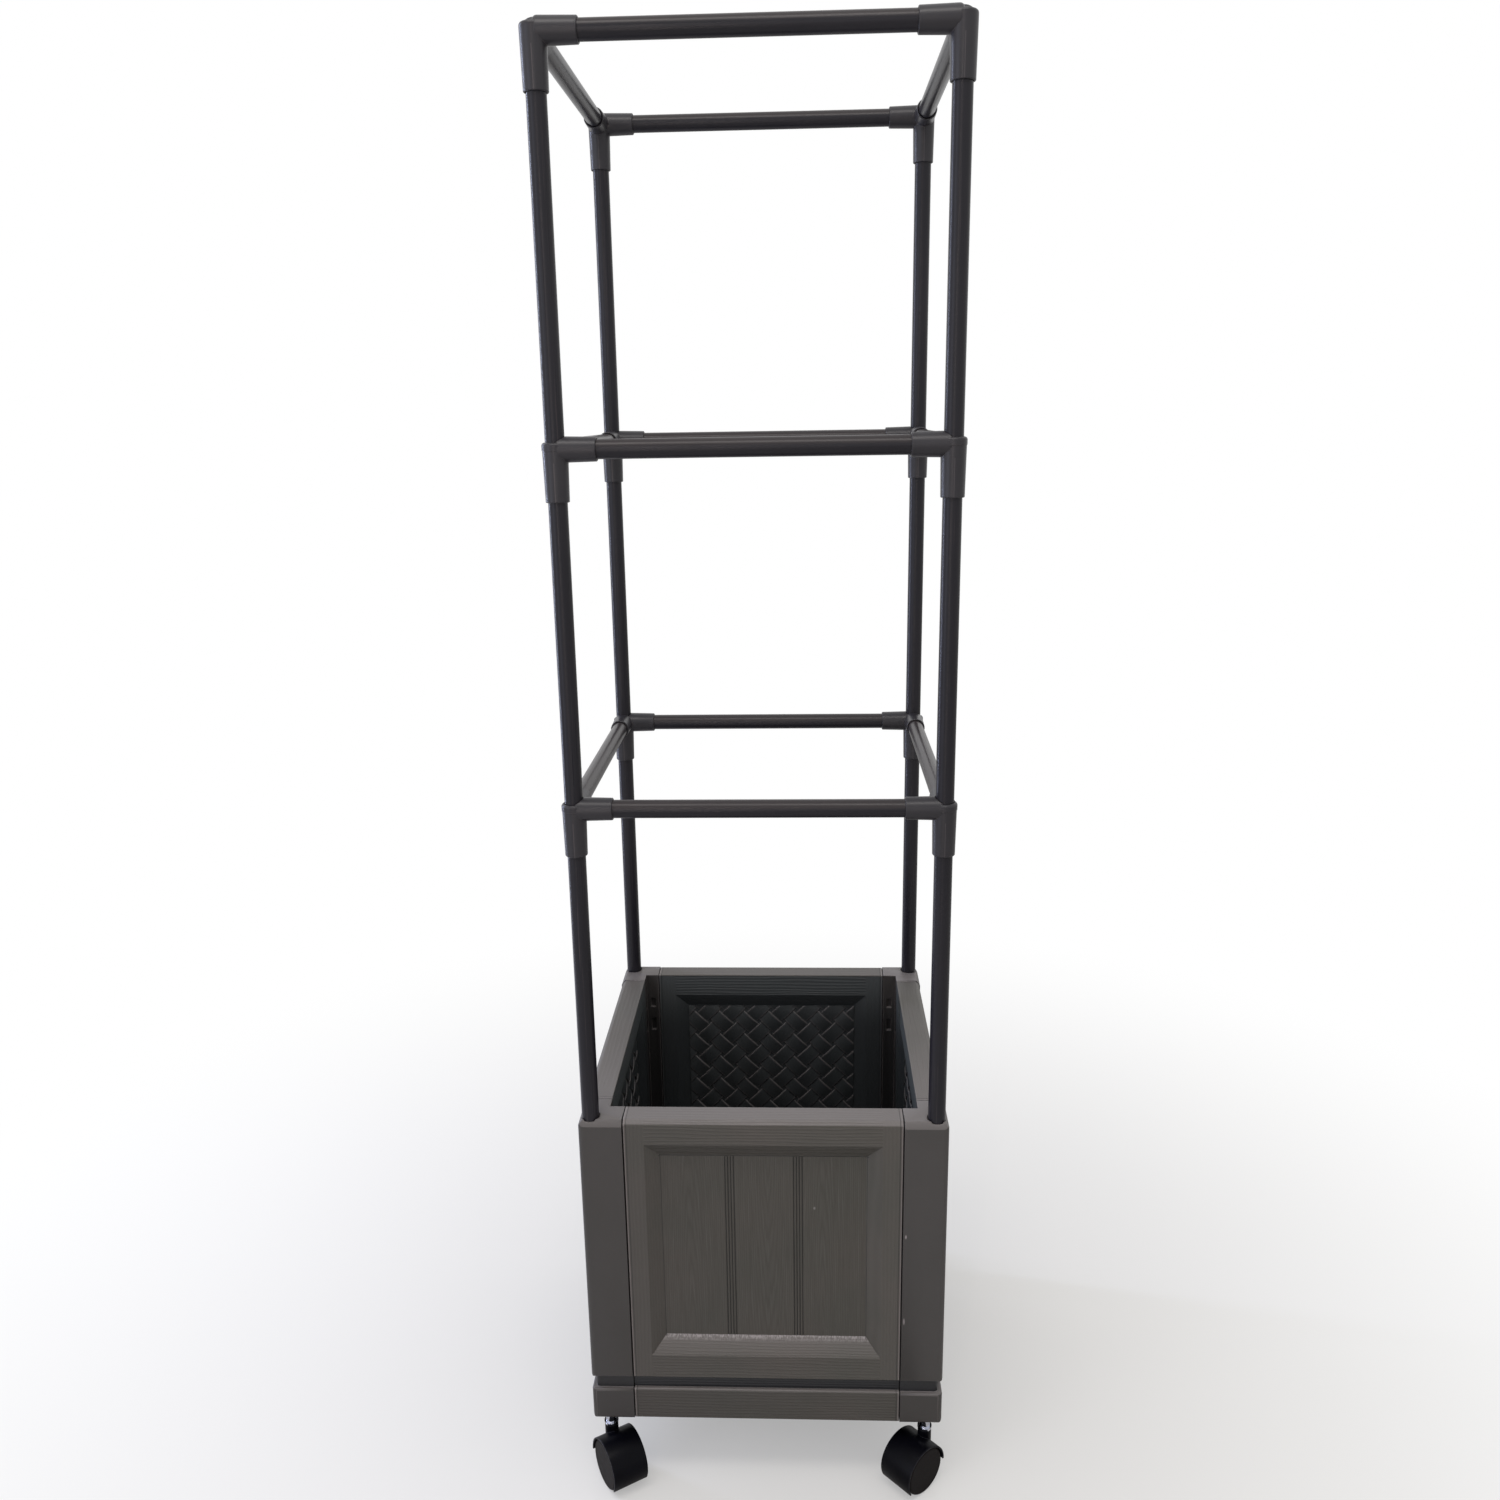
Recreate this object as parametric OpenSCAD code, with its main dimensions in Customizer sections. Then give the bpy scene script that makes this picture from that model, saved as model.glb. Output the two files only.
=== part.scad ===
// Square floor planter on four swivelling twin-wheel casters, with a
// three-ring cage of tubes above it. Millimetres, +Z up. The origin is on
// the floor under the middle of the planter, and -Y is the front.

/* [Planter box] */
// Outer width and depth over the corner posts
box_w = 342; // [300:1:420]
// Height of the box from the underside of its feet
box_h = 329; // [240:1:420]
// Width of each post face
post_arm = 41; // [40:0.5:60]
// Wall thickness, from the post's outer face to its inner face
wall_t = 27; // [26:0.5:36]
// How far the posts stand out from the panels
post_proud = 1.5; // [0.5:0.1:2.5]
// Skin thickness of the hollow posts
post_skin = 3.5; // [2.5:0.1:4]
// Radius of the upright outer edge of a post
corner_r = 5; // [2:0.5:7]
// Width of the chamfer along the outer top edges of the box
chamfer_w = 4; // [1:0.5:6]
// Drop of that chamfer on the posts
post_chamfer_h = 6; // [1:0.5:8]
// Drop of that chamfer on the panels
panel_chamfer_h = 3.6; // [1:0.2:8]
// Radius of the lower outer edges
low_r = 2.5; // [1:0.5:4]
// Open seam between neighbouring mouldings
seam = 0.5; // [0.2:0.1:1]

/* [Panel frame] */
// Flat of the upright stile beside the bevel
stile_w = 19; // [12:0.5:24]
// Flat of the top and bottom rails of a panel
rail_w = 25; // [18:0.5:34]
// Width of the bevels at the sides of the sunk field
side_bevel = 14; // [8:0.5:20]
// Height of the bevels above and below the sunk field
rail_bevel = 17; // [8:0.5:24]
// Depth of the sunk plank field outside
field_sunk = 10; // [5:0.5:10.5]
// Depth of the sunk weave field inside
weave_sunk = 9; // [5:0.5:10]
// Number of planks in the outer field
plank_n = 3; // [2:1:5]
// Grooves in the reeded bead between two planks
reed_n = 4; // [2:1:5]
// Spacing of the reed grooves
reed_pitch = 2.7; // [2:0.1:4]
// Radius of one reed groove
reed_r = 0.8; // [0.4:0.1:0.9]

/* [Basket weave] */
// Distance between the middles of neighbouring strips
strip_pitch = 20.5; // [18:0.5:30]
// Width of one diagonal strip
strip_w = 16; // [10:0.5:17]
// Gap between a strip's end and the strip that it dives under
strip_gap = 0.3; // [0.2:0.1:1]
// Height that a strip arches over the one it crosses
strip_rise = 2; // [1:0.1:3]
// Distance from the top of the weave to the middle of its first full row
weave_top = 21; // [14:0.5:35]

/* [Base] */
// Height of the base rails and feet below the shadow groove
base_h = 34.5; // [26:0.5:44]
// Height of the shadow groove
groove_h = 14; // [6:1:20]
// Depth of the shadow groove
groove_in = 4; // [2:0.5:5]
// Radius of the base's outer top edge, above which the groove opens
ledge_r = 2.3; // [0.5:0.1:4]
// How far the feet reach below the base rails
foot_drop = 1; // [0.5:0.5:3]
// Height of the spigots that plug the base into the posts
spigot_h = 12; // [6:1:20]
// Thickness of the floor tray
tray_t = 3; // [2:0.5:5]
// Height of the tray's underside above the feet's underside
tray_up = 20; // [16:1:24]
// Width of the ledge that carries the tray
ledge_w = 8; // [5:0.5:12]
// Drain holes along each side of the tray
drain_n = 5; // [3:1:7]
// Diameter of a drain hole
drain_d = 9; // [5:0.5:14]

/* [Cage] */
// Outer diameter of the tubes
tube_d = 16; // [13:0.5:17]
// Wall of the tubes
tube_wall = 1.2; // [0.6:0.1:2]
// Distance from the post's outer faces to the riser axis
riser_in = 11; // [10:0.5:14]
// Length of one riser tube
riser_len = 300; // [200:5:400]
// Depth of the riser socket in the post top
socket_deep = 18; // [12:1:40]
// Wall of a connector at its root
conn_wall = 2.35; // [2:0.05:3.5]
// How much the radius of a connector arm tapers to its mouth
arm_taper = 0.7; // [0.2:0.1:1]
// Reach of a connector arm from the riser axis
arm_reach = 34; // [28:1:50]
// Drop of a connector leg below the ring axis
leg_drop = 42; // [34:1:60]
// Distance from the riser axis to the end of a cross bar
bar_stop = 10; // [10:0.5:14]
// Distance from the ring axis down to the end of the riser below
riser_stop = 16; // [14:1:20]
// Thickness of the stop rib between two risers
rib_t = 4; // [2:0.5:6]
// Height of a connector's crown above the ring axis
crown_h = 5.7; // [4:0.1:8]
// Radius of the crown's rounded edge
crown_round = 2.6; // [1:0.1:3.5]
// Radial clearance of a tube in its socket
tube_fit = 0.15; // [0.05:0.05:0.4]
// Further radial gap where a socket's mouth widens
mouth_gap = 0.5; // [0.2:0.1:0.8]

/* [Casters] */
// Wheel diameter
wheel_d = 48; // [40:1:60]
// Overall width of the twin wheels and their hood
caster_w = 36; // [30:1:46]
// Height of the feet's underside above the floor
ride_h = 72; // [68:1:84]
// Distance from the swivel axis to the axle
trail = 17; // [14:0.5:22]
// Distance from the post's outer faces to the swivel axis
stem_in = 15; // [12:0.5:17]
// Thickness of the hood shell
hood_t = 1.5; // [1:0.1:3]
// Air between a wheel and the hood shell
hood_air = 0.8; // [0.5:0.1:2]
// Thickness of the web between the two wheels
web_t = 6; // [4:0.5:8]
// Angle that the hood reaches below the axle on the trailing side
hood_low = 30; // [10:1:55]
// Diameter of the neck round the swivel pin
neck_d = 13.3; // [11:0.1:16]
// Diameter of the swivel pin
pin_d = 7; // [5:0.5:8]
// Diameter of the shank in the foot
shank_d = 10.5; // [8:0.5:12]
// Diameter of the chrome collar on the neck
collar_d = 14; // [13:0.5:16]
// Distance from the collar's underside up to the foot
collar_drop = 16.6; // [12:0.2:18]
// Axle diameter
axle_d = 4; // [3:0.5:5]
// Radial clearance of the swivel pin and the axle in their bores
run_fit = 0.08; // [0.02:0.01:0.1]

/* [Hidden] */
$fn = 64;

SIDES = ["front", "right", "rear", "left"];
CORNERS = ["front_left", "front_right", "rear_right", "rear_left"];
RINGS = ["low", "middle", "top"];

// Colours of the mouldings, the tubes, the rubber-black casters and the chrome
MOULD = "#4d4947";
TUBE = "#38353a";
CASTER = "#16161a";
CHROME = "#c9ccd2";

// Clearance between parts that plug together, and the overlap of fused forms
plug_fit = 0.25;
fuse = 0.5;

// Small rounding of edges that meet a seam
soft_r = 1;

// Heights of the box
foot_z = ride_h;
post_z = foot_z + base_h + groove_h;
box_z = foot_z + box_h;
post_h = box_z - post_z;
rail_z = foot_z + foot_drop;

// Tongue on the panel and rail ends, and its slot in the post and foot
tongue_w = 8;
tongue_in = 8;
slot_stop = 12;
rail_tongue_h = 15;
tongue_mid = wall_t / 2;

// Panel size and its sunk field
side_w = box_w - 2 * post_arm;
panel_w = side_w - 2 * seam;
panel_t = wall_t - post_proud;
field_w = panel_w - 2 * (stile_w + side_bevel);
field_h = post_h - 2 * (rail_w + rail_bevel);

// Key on top of a base rail and its channel under the panel
key_w = 6;
key_h = 5;

// Clip pockets on the inner faces of a post: height below the top and size
pocket_w = 6;
pocket_in = 2.5;
pocket_rows = [[29, 11], [54, 15]];

// Floor tray
tray_w = box_w - 2 * wall_t - 2 * seam;
tray_z = foot_z + tray_up;
ledge_t = 5;
rib_h = 8;
tray_rib_w = 2;

// Cage
riser_x = box_w / 2 - riser_in;
tube_r = tube_d / 2;
bore_r = tube_r + tube_fit;
arm_r = bore_r + conn_wall;
arm_end_r = arm_r - arm_taper;
arm_shoulder = 3.8;
rim_r = 0.9;
mouth_r = bore_r + mouth_gap;
mouth_deep = 3;
post_mouth_r = tube_r + 1;
post_mouth_deep = 2;
crown_low = 0.7;
crown_step = 0.4;
ring_n = len(RINGS);
riser_pitch = riser_len + rib_t;
function riser_z(tier) = box_z - socket_deep + tier * riser_pitch;
function ring_z(ring) = riser_z(ring) + riser_len + riser_stop;

// Casters: stem levels, hood and wheels
wheel_r = wheel_d / 2;
hood_in_r = wheel_r + hood_air;
hood_r = hood_in_r + hood_t;
collar_t = 2.2;
collar_z = foot_z - collar_drop;
bearing_gap = 0.3;
neck_z = collar_z - bearing_gap;
shank_up = 28;
// The pin ends in the neck above the wheel drum, with a floor below it
pin_reach = trail - pin_d / 2 - run_fit;
pin_floor = 0.8;
pin_z = wheel_r + sqrt(hood_in_r * hood_in_r - pin_reach * pin_reach) + pin_floor;
wheel_gap = 0.4;
face_in = 0.8;
wheel_w = (caster_w - web_t) / 2 - wheel_gap - face_in;
wheel_edge = 2.6;
web_low = 11;
axle_end = 2;
axle_play = 0.5;
axle_len = caster_w - 2 * (face_in + axle_end + axle_play);
// Heading of each caster's trailing side, in the order of CORNERS
headings = [-57, -136, 123, 44];

// Puts a part drawn with its outer corner at the origin at corner number c
module at_corner(c) {
    right = c == 1 || c == 2 ? 1 : 0;
    rear = c >= 2 ? 1 : 0;
    mirror([right, 0, 0])
        mirror([0, rear, 0])
            translate([-box_w / 2, -box_w / 2, 0])
                children();
}

// Puts a part drawn along +X behind the front face on side number s
module at_side(s) {
    rotate([0, 0, 90 * s])
        translate([0, -box_w / 2, 0])
            children();
}

// Square from the origin with its corner at the origin rounded
module rounded_corner(w, h, r) {
    difference() {
        square([w, h]);
        difference() {
            square(r);
            translate([r, r]) circle(r);
        }
    }
}

// Section of a wall with its outer face at x = 0: its low edge is rounded
// and its top edge is chamfered
module chamfered_section(w, h, drop, r_low) {
    intersection() {
        rounded_corner(w, h, r_low);
        polygon([[0, 0], [w, 0], [w, h], [chamfer_w, h], [0, h - drop]]);
    }
}

// The same section with its top edge rounded
module rounded_section(w, h, r_top, r_low) {
    intersection() {
        rounded_corner(w, h, r_low);
        translate([0, h]) mirror([0, 1]) rounded_corner(w, h, r_top);
    }
}

// L-shaped plan whose outer corner is inset from the origin
module l_plan(inset, arm, t, r) {
    translate([inset, inset]) {
        intersection() {
            rounded_corner(arm, arm, r);
            union() {
                square([arm, t]);
                square([t, arm]);
            }
        }
    }
}

// L-shaped prism whose outer edges follow the section given as its child
module l_prism(h) {
    module side_profile() {
        rotate([90, 0, 0]) translate([0, 0, -post_arm]) linear_extrude(post_arm) children();
    }
    intersection() {
        linear_extrude(h) l_plan(0, post_arm, wall_t, corner_r);
        side_profile() children();
        mirror([1, -1, 0]) side_profile() children();
    }
}

// The same cut in both arms of an L-shaped part
module both_arms() {
    children();
    mirror([1, -1, 0]) children();
}

// Hollow corner post: riser socket on top, slots for the panels' tongues,
// an open foot end for the spigot and two clip pockets on each inner face
module post(c) {
    core_arm = post_arm - tongue_in - plug_fit - post_skin;
    core_h = post_h - socket_deep - post_skin;
    color(MOULD) at_corner(c) translate([0, 0, post_z]) difference() {
        l_prism(post_h) chamfered_section(post_arm, post_h, post_chamfer_h, low_r);
        translate([0, 0, -fuse]) linear_extrude(core_h + fuse) post_core(0, core_arm);
        translate([riser_in, riser_in, post_h - socket_deep])
            cylinder(r = bore_r, h = socket_deep + fuse);
        translate([riser_in, riser_in, post_h - post_mouth_deep])
            cylinder(r = post_mouth_r, h = post_mouth_deep + fuse);
        both_arms() translate([0, 0, -fuse]) tongue_slot(post_h - slot_stop + fuse);
        both_arms() for (row = pocket_rows)
            translate([(wall_t + post_arm - pocket_w) / 2, wall_t - pocket_in, post_h - row[0] - row[1]])
                cube([pocket_w, pocket_in + fuse, row[1]]);
    }
}

// Slot of the given height for a tongue, in an arm's end from z = 0
module tongue_slot(h) {
    translate([post_arm - tongue_in - plug_fit, tongue_mid - tongue_w / 2 - plug_fit, 0])
        cube([tongue_in + plug_fit + fuse, tongue_w + 2 * plug_fit, h]);
}

// Plan of the hollow in a post, shrunk by a clearance for the foot's spigot
module post_core(fit, arm) {
    inner = wall_t - 2 * post_skin;
    translate([post_skin + fit, post_skin + fit]) {
        square([arm - post_skin - 2 * fit, inner - 2 * fit]);
        square([inner - 2 * fit, arm - post_skin - 2 * fit]);
    }
}

// Corner foot: block, recessed neck of the shadow groove and spigot
module foot(c) {
    core_arm = post_arm - tongue_in - plug_fit - post_skin;
    slot_z = (base_h - rail_tongue_h) / 2;
    color(MOULD) at_corner(c) translate([0, 0, foot_z]) difference() {
        union() {
            l_prism(base_h) rounded_section(post_arm, base_h, ledge_r, low_r + soft_r);
            translate([0, 0, base_h - fuse]) linear_extrude(groove_h + fuse)
                l_plan(groove_in, post_arm - groove_in, wall_t - groove_in, corner_r - soft_r);
            translate([0, 0, base_h + groove_h - fuse]) linear_extrude(spigot_h + fuse)
                post_core(plug_fit, core_arm);
        }
        translate([stem_in, stem_in, -fuse]) cylinder(r = shank_d / 2 + run_fit, h = shank_up + fuse);
        both_arms() translate([0, 0, slot_z - plug_fit]) tongue_slot(rail_tongue_h + 2 * plug_fit);
    }
}

// Base rail: face, recessed neck, key for the panel, tray ledge and tongues
module base_rail(s) {
    rail_h = base_h - foot_drop;
    slot_z = (base_h - rail_tongue_h) / 2 - foot_drop;
    color(MOULD) at_side(s) translate([0, 0, rail_z]) {
        translate([-panel_w / 2, 0, 0]) rotate([90, 0, 90]) linear_extrude(panel_w) {
            translate([post_proud, 0]) rounded_section(panel_t, rail_h, ledge_r, low_r - soft_r);
            translate([post_proud + groove_in, rail_h - fuse])
                square([panel_t - groove_in, groove_h + fuse]);
            translate([tongue_mid - key_w / 2, rail_h + groove_h - fuse])
                square([key_w, key_h + fuse]);
            translate([wall_t - fuse, tray_up - foot_drop - ledge_t])
                square([ledge_w + fuse, ledge_t]);
        }
        for (end = [-1, 1])
            translate([end * (panel_w / 2 - fuse) - (end < 0 ? tongue_in - seam + fuse : 0),
                       tongue_mid - tongue_w / 2, slot_z])
                cube([tongue_in - seam + fuse, tongue_w, rail_tongue_h]);
    }
}

// Sunk field with four mitred bevels, cut from y = 0 towards +Y
module sunk_field(depth) {
    module taper(len, bevel) {
        far = len / 2 + bevel * (1 + fuse / depth);
        polygon([[-far, -fuse], [-len / 2, depth], [len / 2, depth], [far, -fuse]]);
    }
    intersection() {
        translate([0, 0, -post_h]) linear_extrude(2 * post_h) taper(field_w, side_bevel);
        translate([-panel_w, 0, 0]) rotate([90, 0, 90]) linear_extrude(2 * panel_w)
            mirror([1, -1]) taper(field_h, rail_bevel);
    }
}

// One strip of the weave where it arches over the strip that crosses it.
// Its ends come down to the field beside its neighbours.
module weave_cell() {
    span = 2 * strip_pitch - strip_w - 2 * strip_gap;
    arch_r = (span * span / 4 + strip_rise * strip_rise) / (2 * strip_rise);
    translate([0, 0, -strip_w / 2]) linear_extrude(strip_w) intersection() {
        translate([0, arch_r - strip_rise]) circle(arch_r, $fn = 96);
        translate([-span / 2, -strip_rise]) square([span, strip_rise + fuse]);
    }
}

// Diagonal basket weave: a chequer of arched strips that rise towards -Y
module weave() {
    step = strip_pitch / sqrt(2);
    reach = ceil((field_w + field_h) / 2 / step);
    row_z = field_h / 2 - weave_top;
    intersection() {
        translate([-field_w / 2, -2 * strip_rise, -field_h / 2])
            cube([field_w, 3 * strip_rise, field_h]);
        union() for (i = [-reach:reach], j = [-reach:reach]) {
            x = (i + j) * step;
            z = row_z + (i - j) * step;
            turn = (i + j) % 2 == 0 ? -45 : 45;
            if (abs(x) < field_w / 2 + strip_pitch && abs(z) < field_h / 2 + strip_pitch)
                translate([x, 0, z]) rotate([0, turn, 0]) weave_cell();
        }
    }
}

// Two-sided panel: three reeded planks outside and a basket weave inside
module panel(s) {
    color(MOULD) at_side(s) translate([0, 0, post_z]) {
        difference() {
            translate([-panel_w / 2, 0, 0]) rotate([90, 0, 90]) linear_extrude(panel_w)
                translate([post_proud, 0]) chamfered_section(panel_t, post_h, panel_chamfer_h, soft_r);
            translate([0, post_proud, post_h / 2]) sunk_field(field_sunk);
            translate([0, wall_t, post_h / 2]) mirror([0, 1, 0]) sunk_field(weave_sunk);
            for (p = [1:plank_n - 1], k = [0:reed_n - 1])
                translate([(p / plank_n - 0.5) * field_w + (k - (reed_n - 1) / 2) * reed_pitch,
                           post_proud + field_sunk, (post_h - field_h) / 2])
                    cylinder(r = reed_r, h = field_h, $fn = 16);
            translate([-panel_w / 2 - fuse, tongue_mid - key_w / 2 - plug_fit, -fuse])
                cube([panel_w + 2 * fuse, key_w + 2 * plug_fit, key_h + plug_fit + fuse]);
        }
        translate([0, wall_t - weave_sunk, post_h / 2]) mirror([0, 1, 0]) weave();
        for (end = [-1, 1])
            translate([end * (panel_w / 2 - fuse) - (end < 0 ? tongue_in - seam + fuse : 0),
                       tongue_mid - tongue_w / 2, key_h + 1])
                cube([tongue_in - seam + fuse, tongue_w, post_h - slot_stop - key_h - 2]);
    }
}

// Floor tray with drain holes, ribbed underneath, resting on the rail ledges
module floor_tray() {
    step = (tray_w - 2 * ledge_w) / drain_n;
    rib_reach = tray_w - 2 * ledge_w - 4 * seam;
    color(MOULD) translate([0, 0, tray_z]) difference() {
        union() {
            translate([-tray_w / 2, -tray_w / 2, 0]) cube([tray_w, tray_w, tray_t]);
            for (k = [0:drain_n]) {
                at = -rib_reach / 2 + k * (rib_reach - tray_rib_w) / drain_n;
                translate([at, -rib_reach / 2, -rib_h]) cube([tray_rib_w, rib_reach, rib_h + fuse]);
                translate([-rib_reach / 2, at, -rib_h]) cube([rib_reach, tray_rib_w, rib_h + fuse]);
            }
        }
        for (i = [0:drain_n - 1], j = [0:drain_n - 1])
            translate([(i - (drain_n - 1) / 2) * step, (j - (drain_n - 1) / 2) * step, -fuse])
                cylinder(d = drain_d, h = tray_t + 2 * fuse);
    }
}

// One tube along +Z from the origin
module tube(len) {
    difference() {
        cylinder(r = tube_r, h = len);
        translate([0, 0, -fuse]) cylinder(r = tube_r - tube_wall, h = len + 2 * fuse);
    }
}

// The risers of one corner, end to end through the connectors
module riser_tubes(c) {
    color(TUBE) at_corner(c) for (tier = [0:ring_n - 1])
        translate([riser_in, riser_in, riser_z(tier)]) tube(riser_len);
}

// The two parallel bars of one ring, along X or along Y
module ring_bars(ring, turn) {
    bar_len = 2 * (riser_x - bar_stop);
    color(TUBE) rotate([0, 0, turn]) for (side = [-1, 1])
        translate([-bar_len / 2, side * riser_x, ring_z(ring)]) rotate([0, 90, 0]) tube(bar_len);
}

// Tapered arm of a connector along +Z: rounded shoulder at the hub and a
// rounded lip at its mouth
module arm(reach) {
    rotate_extrude() {
        polygon([
            [0, 0],
            [arm_r - arm_shoulder, 0],
            [arm_r, arm_shoulder],
            [arm_end_r, reach - rim_r],
            [arm_end_r - rim_r, reach],
            [0, reach]
        ]);
        intersection() {
            translate([arm_r - arm_shoulder, arm_shoulder]) circle(arm_shoulder);
            square([arm_r, arm_shoulder]);
        }
        translate([arm_end_r - rim_r, reach - rim_r]) circle(rim_r, $fn = 24);
    }
}

// Upright body of a connector: tapered leg with a rounded lip below, and
// above it the crown, which stands proud of the leg by a small step
module column(step) {
    crown_r = arm_r + step;
    rotate_extrude() {
        polygon([
            [0, -leg_drop],
            [arm_end_r - rim_r, -leg_drop],
            [arm_end_r, rim_r - leg_drop],
            [arm_r, -crown_low],
            if (step > 0) [crown_r, -crown_low],
            [crown_r, crown_h - crown_round],
            [crown_r - crown_round, crown_h],
            [0, crown_h]
        ]);
        translate([arm_end_r - rim_r, rim_r - leg_drop]) circle(rim_r, $fn = 24);
        translate([crown_r - crown_round, crown_h - crown_round]) circle(crown_round);
    }
}

// Bore of a socket from its stop to its widened mouth, along +Z
module socket(stop, reach) {
    translate([0, 0, stop]) cylinder(r = bore_r, h = reach - stop + fuse);
    translate([0, 0, reach - mouth_deep]) cylinder(r = mouth_r, h = mouth_deep + fuse);
}

// Corner connector: two arms, a leg and a low crown that the next riser
// passes through on every ring but the top one
module connector(ring, c) {
    through = ring < ring_n - 1;
    color(TUBE) at_corner(c) translate([riser_in, riser_in, ring_z(ring)]) difference() {
        union() {
            rotate([0, 90, 0]) arm(arm_reach);
            rotate([-90, 0, 0]) arm(arm_reach);
            column(through ? crown_step : 0);
        }
        rotate([0, 90, 0]) socket(bar_stop, arm_reach);
        rotate([-90, 0, 0]) socket(bar_stop, arm_reach);
        rotate([180, 0, 0]) socket(riser_stop, leg_drop);
        if (through) {
            translate([0, 0, rib_t - riser_stop]) cylinder(r = bore_r, h = 2 * arm_r + riser_stop);
            translate([0, 0, crown_h - mouth_deep]) cylinder(r = mouth_r, h = 2 * arm_r);
            translate([0, 0, -riser_stop - fuse]) cylinder(r = tube_r - tube_wall, h = rib_t + 2 * fuse);
        }
    }
}

// Puts a caster part drawn round the swivel axis at corner number c
module at_stem(c) {
    right = c == 1 || c == 2 ? 1 : -1;
    rear = c >= 2 ? 1 : -1;
    stem_x = box_w / 2 - stem_in;
    translate([right * stem_x, rear * stem_x, 0]) children();
}

// Plated stem: shank up into the foot, collar on the neck and swivel pin below
module stem(c) {
    color(CHROME) at_stem(c) {
        translate([0, 0, collar_z]) cylinder(d = shank_d, h = foot_z + shank_up - collar_z);
        translate([0, 0, collar_z]) cylinder(d = collar_d, h = collar_t);
        translate([0, 0, pin_z]) cylinder(d = pin_d, h = collar_z - pin_z + fuse);
    }
}

// Puts a part drawn along +Y through the wheel centre of corner c's caster
module at_axle(c) {
    at_stem(c) rotate([0, 0, headings[c]]) translate([trail, 0, wheel_r]) children();
}

// Round disc across the caster, along +Y from y0
module across(r, y0, w) {
    translate([0, y0, 0]) rotate([-90, 0, 0]) cylinder(r = r, h = w);
}

// Caster hood: drum shell over both wheels, web between them and neck
module hood(c) {
    half = caster_w / 2;
    color(CASTER) at_axle(c) difference() {
        union() {
            intersection() {
                difference() {
                    across(hood_r, -half, caster_w);
                    across(hood_in_r, -half - 1, caster_w + 2);
                }
                translate([0, half + 1, 0]) rotate([90, 0, 0]) linear_extrude(caster_w + 2)
                    hood_sector();
            }
            intersection() {
                across(hood_in_r + fuse, -web_t / 2, web_t);
                translate([-hood_r, -half, -web_low]) cube([2 * hood_r, caster_w, hood_r + web_low]);
            }
            difference() {
                translate([-trail, 0, 0]) cylinder(d = neck_d, h = neck_z - wheel_r);
                across(hood_in_r, web_t / 2, half);
                across(hood_in_r, -web_t / 2 - half, half);
            }
        }
        translate([-trail, 0, pin_z - bearing_gap - wheel_r])
            cylinder(r = pin_d / 2 + run_fit, h = neck_z - pin_z + bearing_gap + fuse);
        across(axle_d / 2, -half, caster_w);
    }
}

// Side view of the part of the drum that the hood covers
module hood_sector() {
    far = 2 * hood_r;
    polygon([
        [0, 0],
        [far * cos(hood_low), -far * sin(hood_low)],
        [far, 0],
        [far, far],
        [-far, far],
        [-far, 0]
    ]);
}

// Axle pin through the web and into both wheels
module axle(c) {
    color(CHROME) at_axle(c) across(axle_d / 2, -axle_len / 2, axle_len);
}

// Cup-shaped wheel: closed rounded outer face, rim and hub with a blind bore
module wheel(c, side) {
    face_t = 2.5;
    rim_t = 3.5;
    hub_r = 6;
    color(CASTER) at_axle(c) mirror([0, side < 0 ? 1 : 0, 0])
        translate([0, web_t / 2 + wheel_gap, 0]) rotate([-90, 0, 0]) rotate_extrude() difference() {
            translate([0, wheel_w]) mirror([0, 1]) difference() {
                square([wheel_r, wheel_w]);
                translate([wheel_r - wheel_edge, 0]) difference() {
                    square(wheel_edge);
                    translate([0, wheel_edge]) circle(wheel_edge, $fn = 32);
                }
            }
            translate([hub_r, -fuse]) square([wheel_r - rim_t - hub_r, wheel_w - face_t + fuse]);
            translate([0, -fuse]) square([axle_d / 2 + run_fit, wheel_w - axle_end + fuse]);
        }
}

floor_tray();
for (s = [0:3]) {
    panel(s);
    base_rail(s);
}
for (c = [0:3]) {
    post(c);
    foot(c);
    riser_tubes(c);
    stem(c);
    hood(c);
    axle(c);
    wheel(c, 1);
    wheel(c, -1);
}
for (r = [0:ring_n - 1]) {
    ring_bars(r, 0);
    ring_bars(r, 90);
    for (c = [0:3])
        connector(r, c);
}
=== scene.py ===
import math

import bmesh
import bpy
from mathutils import Matrix, Vector


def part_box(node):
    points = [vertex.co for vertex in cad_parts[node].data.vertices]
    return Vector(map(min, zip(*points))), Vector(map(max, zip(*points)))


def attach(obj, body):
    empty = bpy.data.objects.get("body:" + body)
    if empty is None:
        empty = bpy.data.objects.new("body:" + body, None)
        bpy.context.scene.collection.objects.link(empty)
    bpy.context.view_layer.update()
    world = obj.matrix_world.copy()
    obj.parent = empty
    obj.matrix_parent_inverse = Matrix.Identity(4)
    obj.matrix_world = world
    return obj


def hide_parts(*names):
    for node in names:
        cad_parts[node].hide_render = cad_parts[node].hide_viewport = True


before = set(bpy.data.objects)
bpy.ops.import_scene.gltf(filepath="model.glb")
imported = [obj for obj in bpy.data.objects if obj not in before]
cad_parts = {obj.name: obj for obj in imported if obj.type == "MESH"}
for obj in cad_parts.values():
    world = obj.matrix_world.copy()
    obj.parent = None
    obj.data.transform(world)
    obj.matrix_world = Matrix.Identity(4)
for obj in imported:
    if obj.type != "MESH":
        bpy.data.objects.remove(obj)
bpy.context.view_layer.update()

# Studio: a pale seamless floor that fades to white, lit from overhead by a long softbox. A large
# softbox and a narrow strip light stand on the left, and a second strip stands in front. The camera
# stands at chest height, a little to the right, and looks down 15 degrees.

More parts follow.
